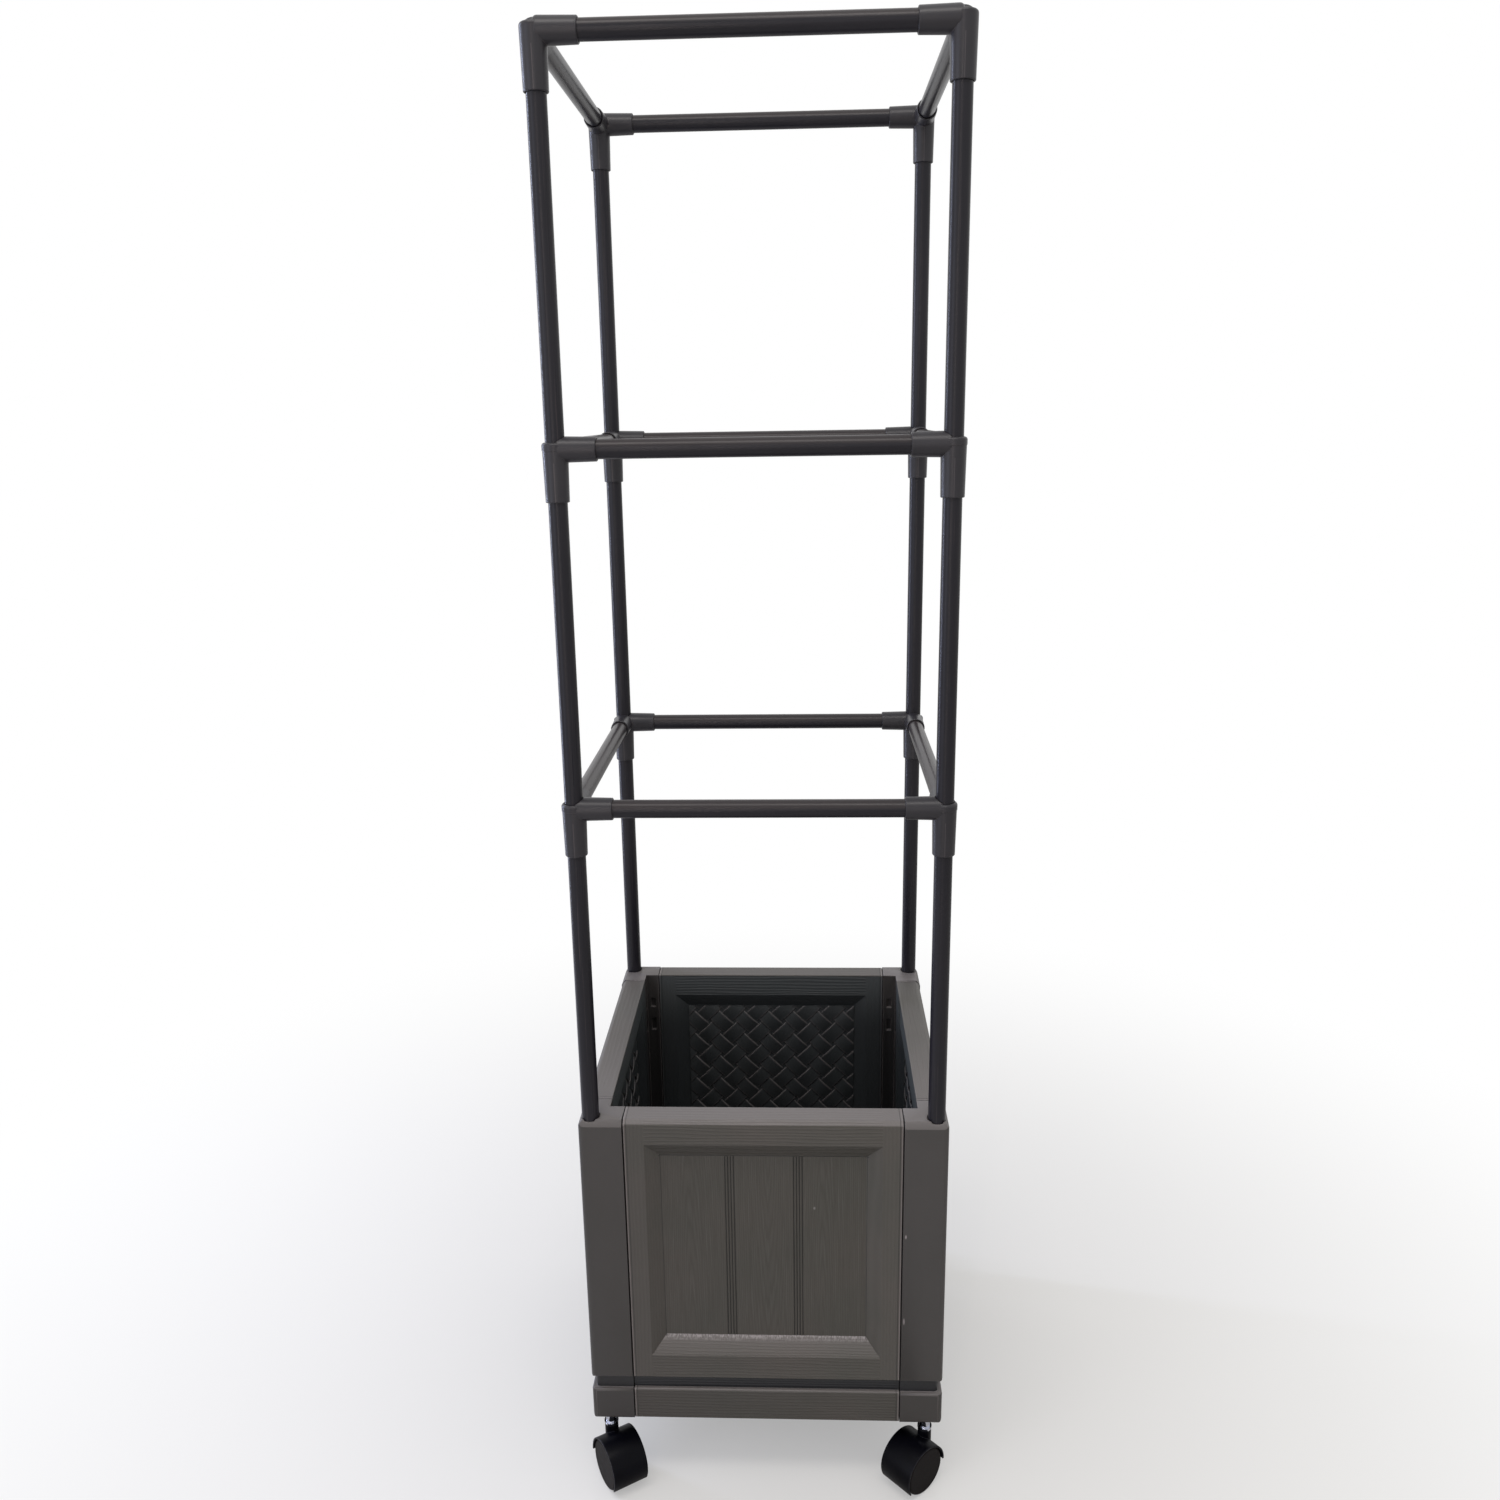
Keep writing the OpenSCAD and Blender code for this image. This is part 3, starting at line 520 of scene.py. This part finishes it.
# The grain is full on the rails, shallower on planks and stiles, faint on woven strips, worn down
# on what faces up, and missing on the border strips.
share = add_node(tree, "MapRange", {}, {"Value": kind, "From Max": 2, "To Min": 1, "To Max": 0.3})
share = add_node(tree, "Mix", {"data_type": "FLOAT"},
                 {"Factor": is_strip, "A": share.outputs[0], "B": 0.22})
calm = add_node(tree, "MapRange", {}, {"Value": upward, "From Min": 0.75, "From Max": 0.95,
                                       "To Min": 1, "To Max": 0.4})
inner = add_node(tree, "Math", {"operation": "GREATER_THAN"}, {0: from_end, 1: border_wide})
inner = add_node(tree, "Math", {"operation": "MAXIMUM"}, {0: inner.outputs[0], 1: is_strip})
for limit in (share, calm, inner):
    relief = add_node(tree, "Math", {"operation": "MULTIPLY"},
                      {0: relief.outputs[0], 1: limit.outputs[0]})
tones = add_node(tree, "ValToRGB", {}, {"Fac": relief.outputs[0]})
ramp = tones.color_ramp.elements
ramp[0].color = linear("#e6e3e1")
ramp[1].color = linear("#f2f0ee")
ramp[1].position = 0.25
for position, colour in ((0.38, "#c1bcb4"), (0.62, "#efece9"), (1, "#ffffff")):
    ramp.new(position).color = linear(colour)
tint = add_node(tree, "Mix", {"data_type": "RGBA"},
                {"Factor": drift.outputs["Fac"], "A": linear("#484c46"), "B": linear("#605955")})
tint = add_node(tree, "Mix", {"data_type": "RGBA", "blend_type": "MULTIPLY"},
                {"Factor": 1, "A": tint.outputs[2], "B": tones.outputs[0]})
# The frame is a shade darker than its planks, the base is darker, and the left side is painted
# darker than the right, as painted shade.
left_shade = add_node(tree, "MapRange", {}, {"Value": at.outputs["X"], **left_shade_ramp})
darkening = add_node(tree, "Math", {"operation": "LESS_THAN"}, {0: at.outputs["Z"], 1: foot_top})
darkening = add_node(tree, "Math", {"operation": "MULTIPLY"}, {0: darkening.outputs[0], 1: 0.2})
bare = add_node(tree, "Math", {"operation": "ADD"}, {0: is_plank, 1: is_strip})
framed = add_node(tree, "Math", {"operation": "SUBTRACT", "use_clamp": True},
                  {0: 1, 1: bare.outputs[0]})
framed = add_node(tree, "Math", {"operation": "MULTIPLY"}, {0: framed.outputs[0], 1: 0.12})
for dark in (framed, left_shade):
    darkening = add_node(tree, "Math", {"operation": "ADD"}, {0: darkening.outputs[0], 1: dark.outputs[0]})
# The outer half of each border strip, and the woven strips' edges, get a painted highlight.
edge_highlight = add_node(tree, "MapRange", {},
                  {"Value": from_end, "From Min": 0.0019, "From Max": 0.0013, "To Max": 0.6})
# What faces up is paler: dust, and a painted sheen of the light from above. Both are painted
# weaker towards the rear, as painted shade, and on the lower bevel they grow towards the planks.
dust_and_sheen = add_node(tree, "MapRange", {},
                {"Value": upward, "From Min": 0.2, "From Max": 0.8, "To Max": 0.55})
front_light_share = add_node(tree, "MapRange", {}, {"Value": at.outputs["Y"], "From Min": -0.15,
                                         "From Max": 0, "To Min": 1, "To Max": 0.3})
low = add_node(tree, "Math", {"operation": "LESS_THAN"},
               {0: at.outputs["Z"], 1: field_low + 0.001})
slope = add_node(tree, "Math", {"operation": "COMPARE"}, {0: upward, 1: 0.5, 2: 0.15})
slope = add_node(tree, "Math", {"operation": "MULTIPLY"}, {0: slope.outputs[0], 1: low.outputs[0]})
drop = add_node(tree, "MapRange", {},
                {"Value": at.outputs["Z"], "From Min": field_low - rail_bevel,
                 "From Max": field_low, "To Min": -0.7, "To Max": 0.25})
drop = add_node(tree, "Math", {"operation": "MULTIPLY"}, {0: drop.outputs[0], 1: slope.outputs[0]})
drop = add_node(tree, "Math", {"operation": "ADD"}, {0: drop.outputs[0], 1: 1})
for thinning in (front_light_share, drop):
    dust_and_sheen = add_node(tree, "Math", {"operation": "MULTIPLY"},
                    {0: dust_and_sheen.outputs[0], 1: thinning.outputs[0]})
# Scale and dust gather where the lower bevel meets the planks, in short upright streaks.
streaks = add_node(tree, "Mapping", {}, {"Vector": place, "Scale": (1, 1, 0.1)})
streaks = add_node(tree, "TexNoise", {}, {"Vector": streaks.outputs[0], "Scale": 620, "Detail": 3})
streaks = add_node(tree, "MapRange", {}, {"Value": streaks.outputs["Fac"], "From Min": 0.42,
                                          "From Max": 0.62, "To Min": 0.15})
gather = add_node(tree, "MapRange", {}, {"Value": spread.outputs["Z"],
                                         "From Min": field_low - 0.0055, "From Max": field_low})
gather = add_node(tree, "Math", {"operation": "MULTIPLY"},
                  {0: gather.outputs[0], 1: streaks.outputs[0]})
gather = add_node(tree, "Math", {"operation": "MULTIPLY", "use_clamp": True},
                  {0: gather.outputs[0], 1: slope.outputs[0]})
# The bevels that face down are painted darker, as painted shade.
under_shade = add_node(tree, "Math", {"operation": "COMPARE"}, {0: upward, 1: -0.5, 2: 0.15})
under_shade = add_node(tree, "Math", {"operation": "MULTIPLY"}, {0: under_shade.outputs[0], 1: 0.45})
# The inside is painted a cooler grey and darker towards the floor, as painted shade; the grey
# covers most of the coats before it. The neck is painted dark too, as painted shade.
inside = add_node(tree, "Math", {"operation": "LESS_THAN"}, {0: reach.outputs[0], 1: inside_reach})
depth = add_node(tree, "MapRange", {"interpolation_type": "SMOOTHSTEP"},
                 {"Value": spread.outputs["Z"], "From Min": shade_starts, "From Max": shade_full,
                  "To Max": 0.63})
inside_shade = add_node(tree, "Math", {"operation": "MULTIPLY"},
                {0: inside.outputs[0], 1: depth.outputs[0]})
below_top = add_node(tree, "Math", {"operation": "LESS_THAN"},
                     {0: spread.outputs["Z"], 1: panel_top - 0.001})
cool_shade = add_node(tree, "Math", {"operation": "MULTIPLY"},
                {0: below_top.outputs[0], 1: inside.outputs[0]})
cool_shade = add_node(tree, "Math", {"operation": "MULTIPLY"}, {0: cool_shade.outputs[0], 1: 0.6})
neck_shade = add_node(tree, "Math", {"operation": "COMPARE"},
                {0: spread.outputs["Z"], 1: neck_z, 2: neck_half})
# Dark lines are painted: a fine line between border strip and grain, and painted shade at a
# panel's ends, in the bead grooves, and where the bevels meet the planks at the sides and the top.
line = add_node(tree, "Math", {"operation": "COMPARE"}, {0: from_end, 1: border_wide, 2: 0.0003})
gap = add_node(tree, "Math", {"operation": "LESS_THAN"}, {0: from_end, 1: 0.0006})
deep = add_node(tree, "Math", {"operation": "COMPARE"},
                {0: reach.outputs[0], 1: groove_reach, 2: 0.0009})
rim = add_node(tree, "Math", {"operation": "COMPARE"}, {0: from_end, 1: bevel_end, 2: 0.0004})
over = add_node(tree, "Math", {"operation": "COMPARE"},
                {0: spread.outputs["Z"], 1: field_high + 0.0005, 2: 0.0006})
rim = add_node(tree, "Math", {"operation": "MAXIMUM"}, {0: rim.outputs[0], 1: over.outputs[0]})
sunk = add_node(tree, "Math", {"operation": "COMPARE"},
                {0: reach.outputs[0], 1: bevel_reach, 2: 0.0006})
rim = add_node(tree, "Math", {"operation": "MULTIPLY"}, {0: rim.outputs[0], 1: sunk.outputs[0]})
deep = add_node(tree, "Math", {"operation": "MAXIMUM"}, {0: deep.outputs[0], 1: rim.outputs[0]})
deep = add_node(tree, "Math", {"operation": "MULTIPLY"},
                {0: deep.outputs[0], 1: below_top.outputs[0]})
for dark in (gap, deep):
    line = add_node(tree, "Math", {"operation": "ADD"}, {0: line.outputs[0], 1: dark.outputs[0]})
line = add_node(tree, "Math", {"operation": "SUBTRACT", "use_clamp": True},
                {0: line.outputs[0], 1: is_strip})
line = add_node(tree, "Math", {"operation": "MULTIPLY"}, {0: line.outputs[0], 1: 0.8})
# The long edges of each woven strip get a painted highlight.
strip_edge_highlight = add_node(tree, "Math", {"operation": "COMPARE"}, {0: from_end, 1: 0.0003, 2: 0.0005})
strip_edge_highlight = add_node(tree, "Math", {"operation": "MULTIPLY"}, {0: strip_edge_highlight.outputs[0], 1: is_strip})
strip_edge_highlight = add_node(tree, "Math", {"operation": "MULTIPLY"}, {0: strip_edge_highlight.outputs[0], 1: 0.35})
# One faint pale knock on a plank of the front panel.
knock = add_node(tree, "VectorMath", {"operation": "SUBTRACT"},
                 {0: place, 1: (0.0475, -0.1595, 0.304)})
knock = add_node(tree, "VectorMath", {"operation": "DIVIDE"},
                 {0: knock.outputs[0], 1: (0.0011, 0.02, 0.0016)})
knock = add_node(tree, "VectorMath", {"operation": "LENGTH"}, {0: knock.outputs[0]})
knock = add_node(tree, "MapRange", {}, {"Value": knock.outputs["Value"], "From Min": 1.2,
                                        "From Max": 0.3, "To Max": 0.4})
for coat, colour in ((darkening, "#231e1c"), (edge_highlight, "#8a8281"), (dust_and_sheen, "#7b7574"),
                     (gather, "#9c9696"), (under_shade, "#242119"), (cool_shade, "#444c50"),
                     (inside_shade, "#0a0d11"), (neck_shade, "#131418"), (line, "#1a1918"), (strip_edge_highlight, "#6a6260"),
                     (knock, "#a5a09f")):
    tint = add_node(tree, "Mix", {"data_type": "RGBA"},
                    {"Factor": coat.outputs[0], "A": tint.outputs[2], "B": linear(colour)})
soft_edge = add_node(tree, "Bevel", {"samples": 4}, {"Radius": 0.0008}).outputs[0]
bump = add_node(tree, "Bump", {}, {"Height": relief.outputs[0], "Distance": 0.0003, "Strength": 1,
                                   "Normal": soft_edge})
sheen = add_node(tree, "MapRange", {}, {"Value": relief.outputs[0], "To Min": 0.5, "To Max": 0.42})
tree.links.new(tint.outputs[2], skin.inputs["Base Color"])
tree.links.new(sheen.outputs[0], skin.inputs["Roughness"])
tree.links.new(bump.outputs[0], skin.inputs["Normal"])


def stand_round(blank, name):
    """Gives a blank the grained skin and stands a copy of it for the node on each side."""
    blank.data.materials.append(grained)
    for number, side in enumerate(sides):
        piece = bpy.data.objects.new(name + side + "_moulding", blank.data.copy())
        piece.data.transform(Matrix.Rotation(number * math.pi / 2, 4, "Z"))
        bpy.context.scene.collection.objects.link(piece)
        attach(piece, "planter")
        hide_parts(name + side)
    bpy.data.objects.remove(blank)


stand_round(panel, "panel_")

# Base rails: the same grained polypropylene. A rail closes the base between two feet. It has a
# rounded ledge, a neck set back 4 mm that makes the dark shadow groove, and a step inside that
# carries the floor tray.

rail_low, rail_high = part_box("base_rail_front")
rail_bottom, step_y = rail_low.z, rail_high.y
ledge_z, neck_y, step_z = panel_bottom - 0.014, face_y + 0.004, 0.092
ledge_rounding, rail_shift = 0.0023, 9.1
base = start_cube("base_rail_blank", (0, middle_y, (rail_bottom + ledge_z) / 2),
                  (2 * panel_half, thick, ledge_z - rail_bottom))
pick(base, "FACE", lambda m, f: f.normal.z > 0.9)
saw((0, neck_y, 0), (0, 1, 0))
pick(base, "FACE", lambda m, f: f.normal.z > 0.9 and m.y > neck_y)
bpy.ops.mesh.extrude_region_move(TRANSFORM_OT_translate={"value": (0, 0, panel_bottom - ledge_z)})
pick(base, "FACE", lambda m, f: f.normal.y > 0.9)
saw((0, 0, step_z), (0, 0, 1))
pick(base, "FACE", lambda m, f: f.normal.y > 0.9 and m.z < step_z)
bpy.ops.mesh.extrude_region_move(TRANSFORM_OT_translate={"value": (0, step_y - back_y, 0)})
pick(base, "EDGE", lambda m, e: abs(m.y - face_y) < hair and abs(m.z - ledge_z) < hair)
bpy.ops.mesh.bevel(offset=ledge_rounding, segments=4)
pick(base, "EDGE", lambda m, e: abs(m.y - face_y) < hair
     and (abs(m.z - rail_bottom) < hair or abs(abs(m.x) - panel_half) < hair))
bpy.ops.mesh.bevel(offset=arris, segments=2)
bpy.ops.object.mode_set(mode="OBJECT")
grain = base.data.uv_layers.new(name="grain")
border = base.data.uv_layers.new(name="border")
for face in base.data.polygons:
    for loop in face.loop_indices:
        p = base.data.vertices[base.data.loops[loop].vertex_index].co
        grain.data[loop].uv = (p.z + wrap * (p.y - face_y) + rail_shift, p.x)
        border.data[loop].uv = (p.x, panel_half)
stand_round(base, "base_rail_")

# Tubes: thin steel tube with a baked polyester coat, dark grey with a blue cast. It is semi-gloss,
# so each tube carries long narrow highlights, with faint rub marks along it and a slight orange
# peel. The tubes plug into the posts and the connectors.

heights = ("low", "middle", "top")


def tube_coat(name, stretch):
    """The coat of the tubes that run one way, with its rub marks stretched out along them."""
    coat, tree, skin = new_material(name, IOR=1.5, Specular_IOR_Level=0.2)
    place = add_node(tree, "TexCoord", {}, {}).outputs["Object"]
    along = add_node(tree, "Mapping", {}, {"Vector": place, "Scale": stretch})
    rubs = add_node(tree, "TexNoise", {}, {"Vector": along.outputs[0], "Scale": 700, "Detail": 3,
                                           "Roughness": 0.6})
    worn = add_node(tree, "MapRange", {}, {"Value": rubs.outputs["Fac"], "From Min": 0.62,
                                           "From Max": 0.78, "To Max": 0.35})
    facing = add_node(tree, "NewGeometry", {}, {}).outputs["Normal"]
    facing = add_node(tree, "SeparateXYZ", {}, {0: facing}).outputs["Z"]
    # What faces up is paler: dust, and a painted sheen of the light from above.
    dust_and_sheen = add_node(tree, "MapRange", {"interpolation_type": "SMOOTHSTEP"},
                    {"Value": facing, "From Min": 0.05, "From Max": 0.5, "To Max": 0.3})
    drift = add_node(tree, "TexNoise", {}, {"Vector": place, "Scale": 9, "Detail": 2})
    tint = add_node(tree, "Mix", {"data_type": "RGBA"},
                    {"Factor": drift.outputs["Fac"],
                     "A": linear("#1c1c21"), "B": linear("#29272c")})
    for mask, colour in ((worn, "#5d5556"), (dust_and_sheen, "#4e4643")):
        tint = add_node(tree, "Mix", {"data_type": "RGBA"},
                        {"Factor": mask.outputs[0], "A": tint.outputs[2], "B": linear(colour)})
    gloss = add_node(tree, "MapRange", {},
                     {"Value": rubs.outputs["Fac"], "To Min": 0.22, "To Max": 0.38})
    peel = add_node(tree, "TexNoise", {}, {"Vector": place, "Scale": 260, "Detail": 1})
    bump = add_node(tree, "Bump", {}, {"Height": peel.outputs["Fac"], "Distance": 0.00008,
                                       "Strength": 0.35})
    tree.links.new(tint.outputs[2], skin.inputs["Base Color"])
    tree.links.new(gloss.outputs[0], skin.inputs["Roughness"])
    tree.links.new(bump.outputs[0], skin.inputs["Normal"])
    return coat


upright_coat = tube_coat("coated_steel_upright", (1, 1, 0.012))
cross_coat = tube_coat("coated_steel_cross", (0.012, 1, 1))
side_coat = tube_coat("coated_steel_side", (1, 0.012, 1))
for corner in corners:
    dress("riser_tubes_" + corner, upright_coat)
for height in heights:
    dress(height + "_ring_cross_bars", cross_coat)
    dress(height + "_ring_side_bars", side_coat)

# Connectors: injection-moulded ABS, satin and a touch browner than the tubes. The mould halves
# leave a thin parting line down each leg, painted pale as a highlight, and the mouths' rims get a
# painted highlight. They push on over the tubes.

leg_drop, leg_half, parting_half = 0.026, 0.0155, 0.0003


def box_middle(node):
    """The middle of a CAD node's box."""
    low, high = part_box(node)
    return (low + high) / 2


satin, tree, skin = new_material("satin_abs", IOR=1.54, Specular_IOR_Level=0.28)
place = add_node(tree, "TexCoord", {}, {}).outputs["Object"]
drift = add_node(tree, "TexNoise", {}, {"Vector": place, "Scale": 24, "Detail": 3})
tint = add_node(tree, "Mix", {"data_type": "RGBA"},
                {"Factor": drift.outputs["Fac"], "A": linear("#252428"), "B": linear("#333135")})
flat = add_node(tree, "NewGeometry", {}, {}).outputs["Normal"]
soft_edge = add_node(tree, "Bevel", {"samples": 4}, {"Radius": 0.0006}).outputs[0]
# Painted highlight on the edges and mouth rims, where the rounded normal leaves the flat one.
bend = add_node(tree, "VectorMath", {"operation": "DOT_PRODUCT"}, {0: flat, 1: soft_edge})
edge_highlight = add_node(tree, "MapRange", {}, {"Value": bend.outputs["Value"], "From Min": 0.99,
                                         "From Max": 0.8, "To Max": 0.6})
at = add_node(tree, "SeparateXYZ", {}, {0: place})
# The parting line is painted pale, as a highlight on its ridge.
parting_highlight = add_node(tree, "Math", {"operation": "ABSOLUTE"}, {0: at.outputs["X"]})
parting_highlight = add_node(tree, "Math", {"operation": "COMPARE"},
                   {0: parting_highlight.outputs[0], 1: box_middle("riser_tubes_front_right").x,
                    2: parting_half})
on_leg = 0
for height in heights:
    leg_z = box_middle(height + "_ring_cross_bars").z - leg_drop
    leg = add_node(tree, "Math", {"operation": "COMPARE"},
                   {0: at.outputs["Z"], 1: leg_z, 2: leg_half}).outputs[0]
    on_leg = add_node(tree, "Math", {"operation": "MAXIMUM"}, {0: on_leg, 1: leg}).outputs[0]
parting_highlight = add_node(tree, "Math", {"operation": "MULTIPLY"}, {0: parting_highlight.outputs[0], 1: on_leg})
parting_highlight = add_node(tree, "Math", {"operation": "MULTIPLY"}, {0: parting_highlight.outputs[0], 1: 0.28})
for mask in (edge_highlight, parting_highlight):
    tint = add_node(tree, "Mix", {"data_type": "RGBA"},
                    {"Factor": mask.outputs[0], "A": tint.outputs[2], "B": linear("#6a6264")})
# The mould's grit is finer than 0.2 mm; it is drawn at 0.9 mm, so that it shows.
grit = add_node(tree, "TexNoise", {}, {"Vector": place, "Scale": 1100, "Detail": 1})
bump = add_node(tree, "Bump", {}, {"Height": grit.outputs["Fac"], "Distance": 0.00003,
                                   "Strength": 0.5, "Normal": soft_edge})
gloss = add_node(tree, "MapRange", {},
                 {"Value": drift.outputs["Fac"], "To Min": 0.28, "To Max": 0.42})
tree.links.new(tint.outputs[2], skin.inputs["Base Color"])
tree.links.new(gloss.outputs[0], skin.inputs["Roughness"])
tree.links.new(bump.outputs[0], skin.inputs["Normal"])
for height in heights:
    for corner in corners:
        dress(height + "_connector_" + corner, satin)

# Casters: black glass-filled nylon hoods and wheels, satin from the mould, with a chromed stem and
# collar pressed into each foot and a plain steel axle pin through the hood. The hoods' faint blue
# sheen is painted into their colour, and their edges get a painted highlight.

hood_rounding, hood_corner = 0.0006, math.radians(38)
nylon, tree, skin = new_material("black_nylon", IOR=1.53, Specular_IOR_Level=0.07)
place = add_node(tree, "TexCoord", {}, {}).outputs["Object"]
drift = add_node(tree, "TexNoise", {}, {"Vector": place, "Scale": 60, "Detail": 3})
# The blue in this black is a painted sheen.
tint = add_node(tree, "Mix", {"data_type": "RGBA"},
                {"Factor": drift.outputs["Fac"], "A": linear("#040407"), "B": linear("#08080f")})
flat = add_node(tree, "NewGeometry", {}, {}).outputs["Normal"]
soft_edge = add_node(tree, "Bevel", {"samples": 4}, {"Radius": 0.0012}).outputs[0]
# Painted highlight along the hoods' edges and rims.
bend = add_node(tree, "VectorMath", {"operation": "DOT_PRODUCT"}, {0: flat, 1: soft_edge})
edge_highlight = add_node(tree, "MapRange", {}, {"Value": bend.outputs["Value"], "From Min": 0.99,
                                         "From Max": 0.88, "To Max": 0.5})
tint = add_node(tree, "Mix", {"data_type": "RGBA"},
                {"Factor": edge_highlight.outputs[0], "A": tint.outputs[2], "B": linear("#3a3a44")})
# The grit is drawn at 0.8 mm, coarser than the real one, so that it shows.
grit = add_node(tree, "TexNoise", {}, {"Vector": place, "Scale": 1300, "Detail": 1})
bump = add_node(tree, "Bump", {}, {"Height": grit.outputs["Fac"], "Distance": 0.00003,
                                   "Strength": 0.5, "Normal": soft_edge})
gloss = add_node(tree, "MapRange", {},
                 {"Value": drift.outputs["Fac"], "To Min": 0.26, "To Max": 0.42})
tree.links.new(tint.outputs[2], skin.inputs["Base Color"])
tree.links.new(gloss.outputs[0], skin.inputs["Roughness"])
tree.links.new(bump.outputs[0], skin.inputs["Normal"])

# The wheels are the same nylon, duller and browner from the floor's dust.
wheel_nylon, tree, skin = new_material("wheel_nylon", IOR=1.53, Specular_IOR_Level=0.06)
place = add_node(tree, "TexCoord", {}, {}).outputs["Object"]
# On the wheels this noise is only the floor's dust, which also dulls the gloss in patches.
dust_and_sheen = add_node(tree, "TexNoise", {},
                {"Vector": place, "Scale": 180, "Detail": 4, "Roughness": 0.7})
tint = add_node(tree, "Mix", {"data_type": "RGBA"},
                {"Factor": dust_and_sheen.outputs["Fac"], "A": linear("#0b0809"), "B": linear("#151011")})
soft_edge = add_node(tree, "Bevel", {"samples": 4}, {"Radius": 0.0006}).outputs[0]
bump = add_node(tree, "Bump", {}, {"Height": dust_and_sheen.outputs["Fac"], "Distance": 0.00004,
                                   "Strength": 0.5, "Normal": soft_edge})
gloss = add_node(tree, "MapRange", {},
                 {"Value": dust_and_sheen.outputs["Fac"], "To Min": 0.34, "To Max": 0.55})
tree.links.new(tint.outputs[2], skin.inputs["Base Color"])
tree.links.new(gloss.outputs[0], skin.inputs["Roughness"])
tree.links.new(bump.outputs[0], skin.inputs["Normal"])


def metal(name, dark, light, smooth, dull):
    """Bare metal with a slight haze, which varies its colour and its gloss."""
    finish, tree, skin = new_material(name, Metallic=1.0)
    place = add_node(tree, "TexCoord", {}, {}).outputs["Object"]
    haze = add_node(tree, "TexNoise", {}, {"Vector": place, "Scale": 320, "Detail": 3})
    tint = add_node(tree, "Mix", {"data_type": "RGBA"},
                    {"Factor": haze.outputs["Fac"], "A": linear(dark), "B": linear(light)})
    gloss = add_node(tree, "MapRange", {},
                     {"Value": haze.outputs["Fac"], "To Min": smooth, "To Max": dull})
    tree.links.new(tint.outputs[2], skin.inputs["Base Color"])
    tree.links.new(gloss.outputs[0], skin.inputs["Roughness"])
    return finish


# Chrome plating is bright and mirrors the floor; the bare pins are greyer and spread the light.
chrome = metal("chromed_steel", "#b3b5bd", "#d5d8e2", 0.05, 0.16)
pin_steel = metal("plain_steel", "#7d7e82", "#9c9da2", 0.25, 0.45)
for corner in corners:
    round_edges("hood_" + corner, "caster_" + corner, nylon, hood_rounding,
                lambda middle, edge: edge.calc_face_angle() > hood_corner)
    dress("outer_wheel_" + corner, wheel_nylon)
    dress("inner_wheel_" + corner, wheel_nylon)
    dress("stem_" + corner, chrome)
    dress("axle_" + corner, pin_steel)
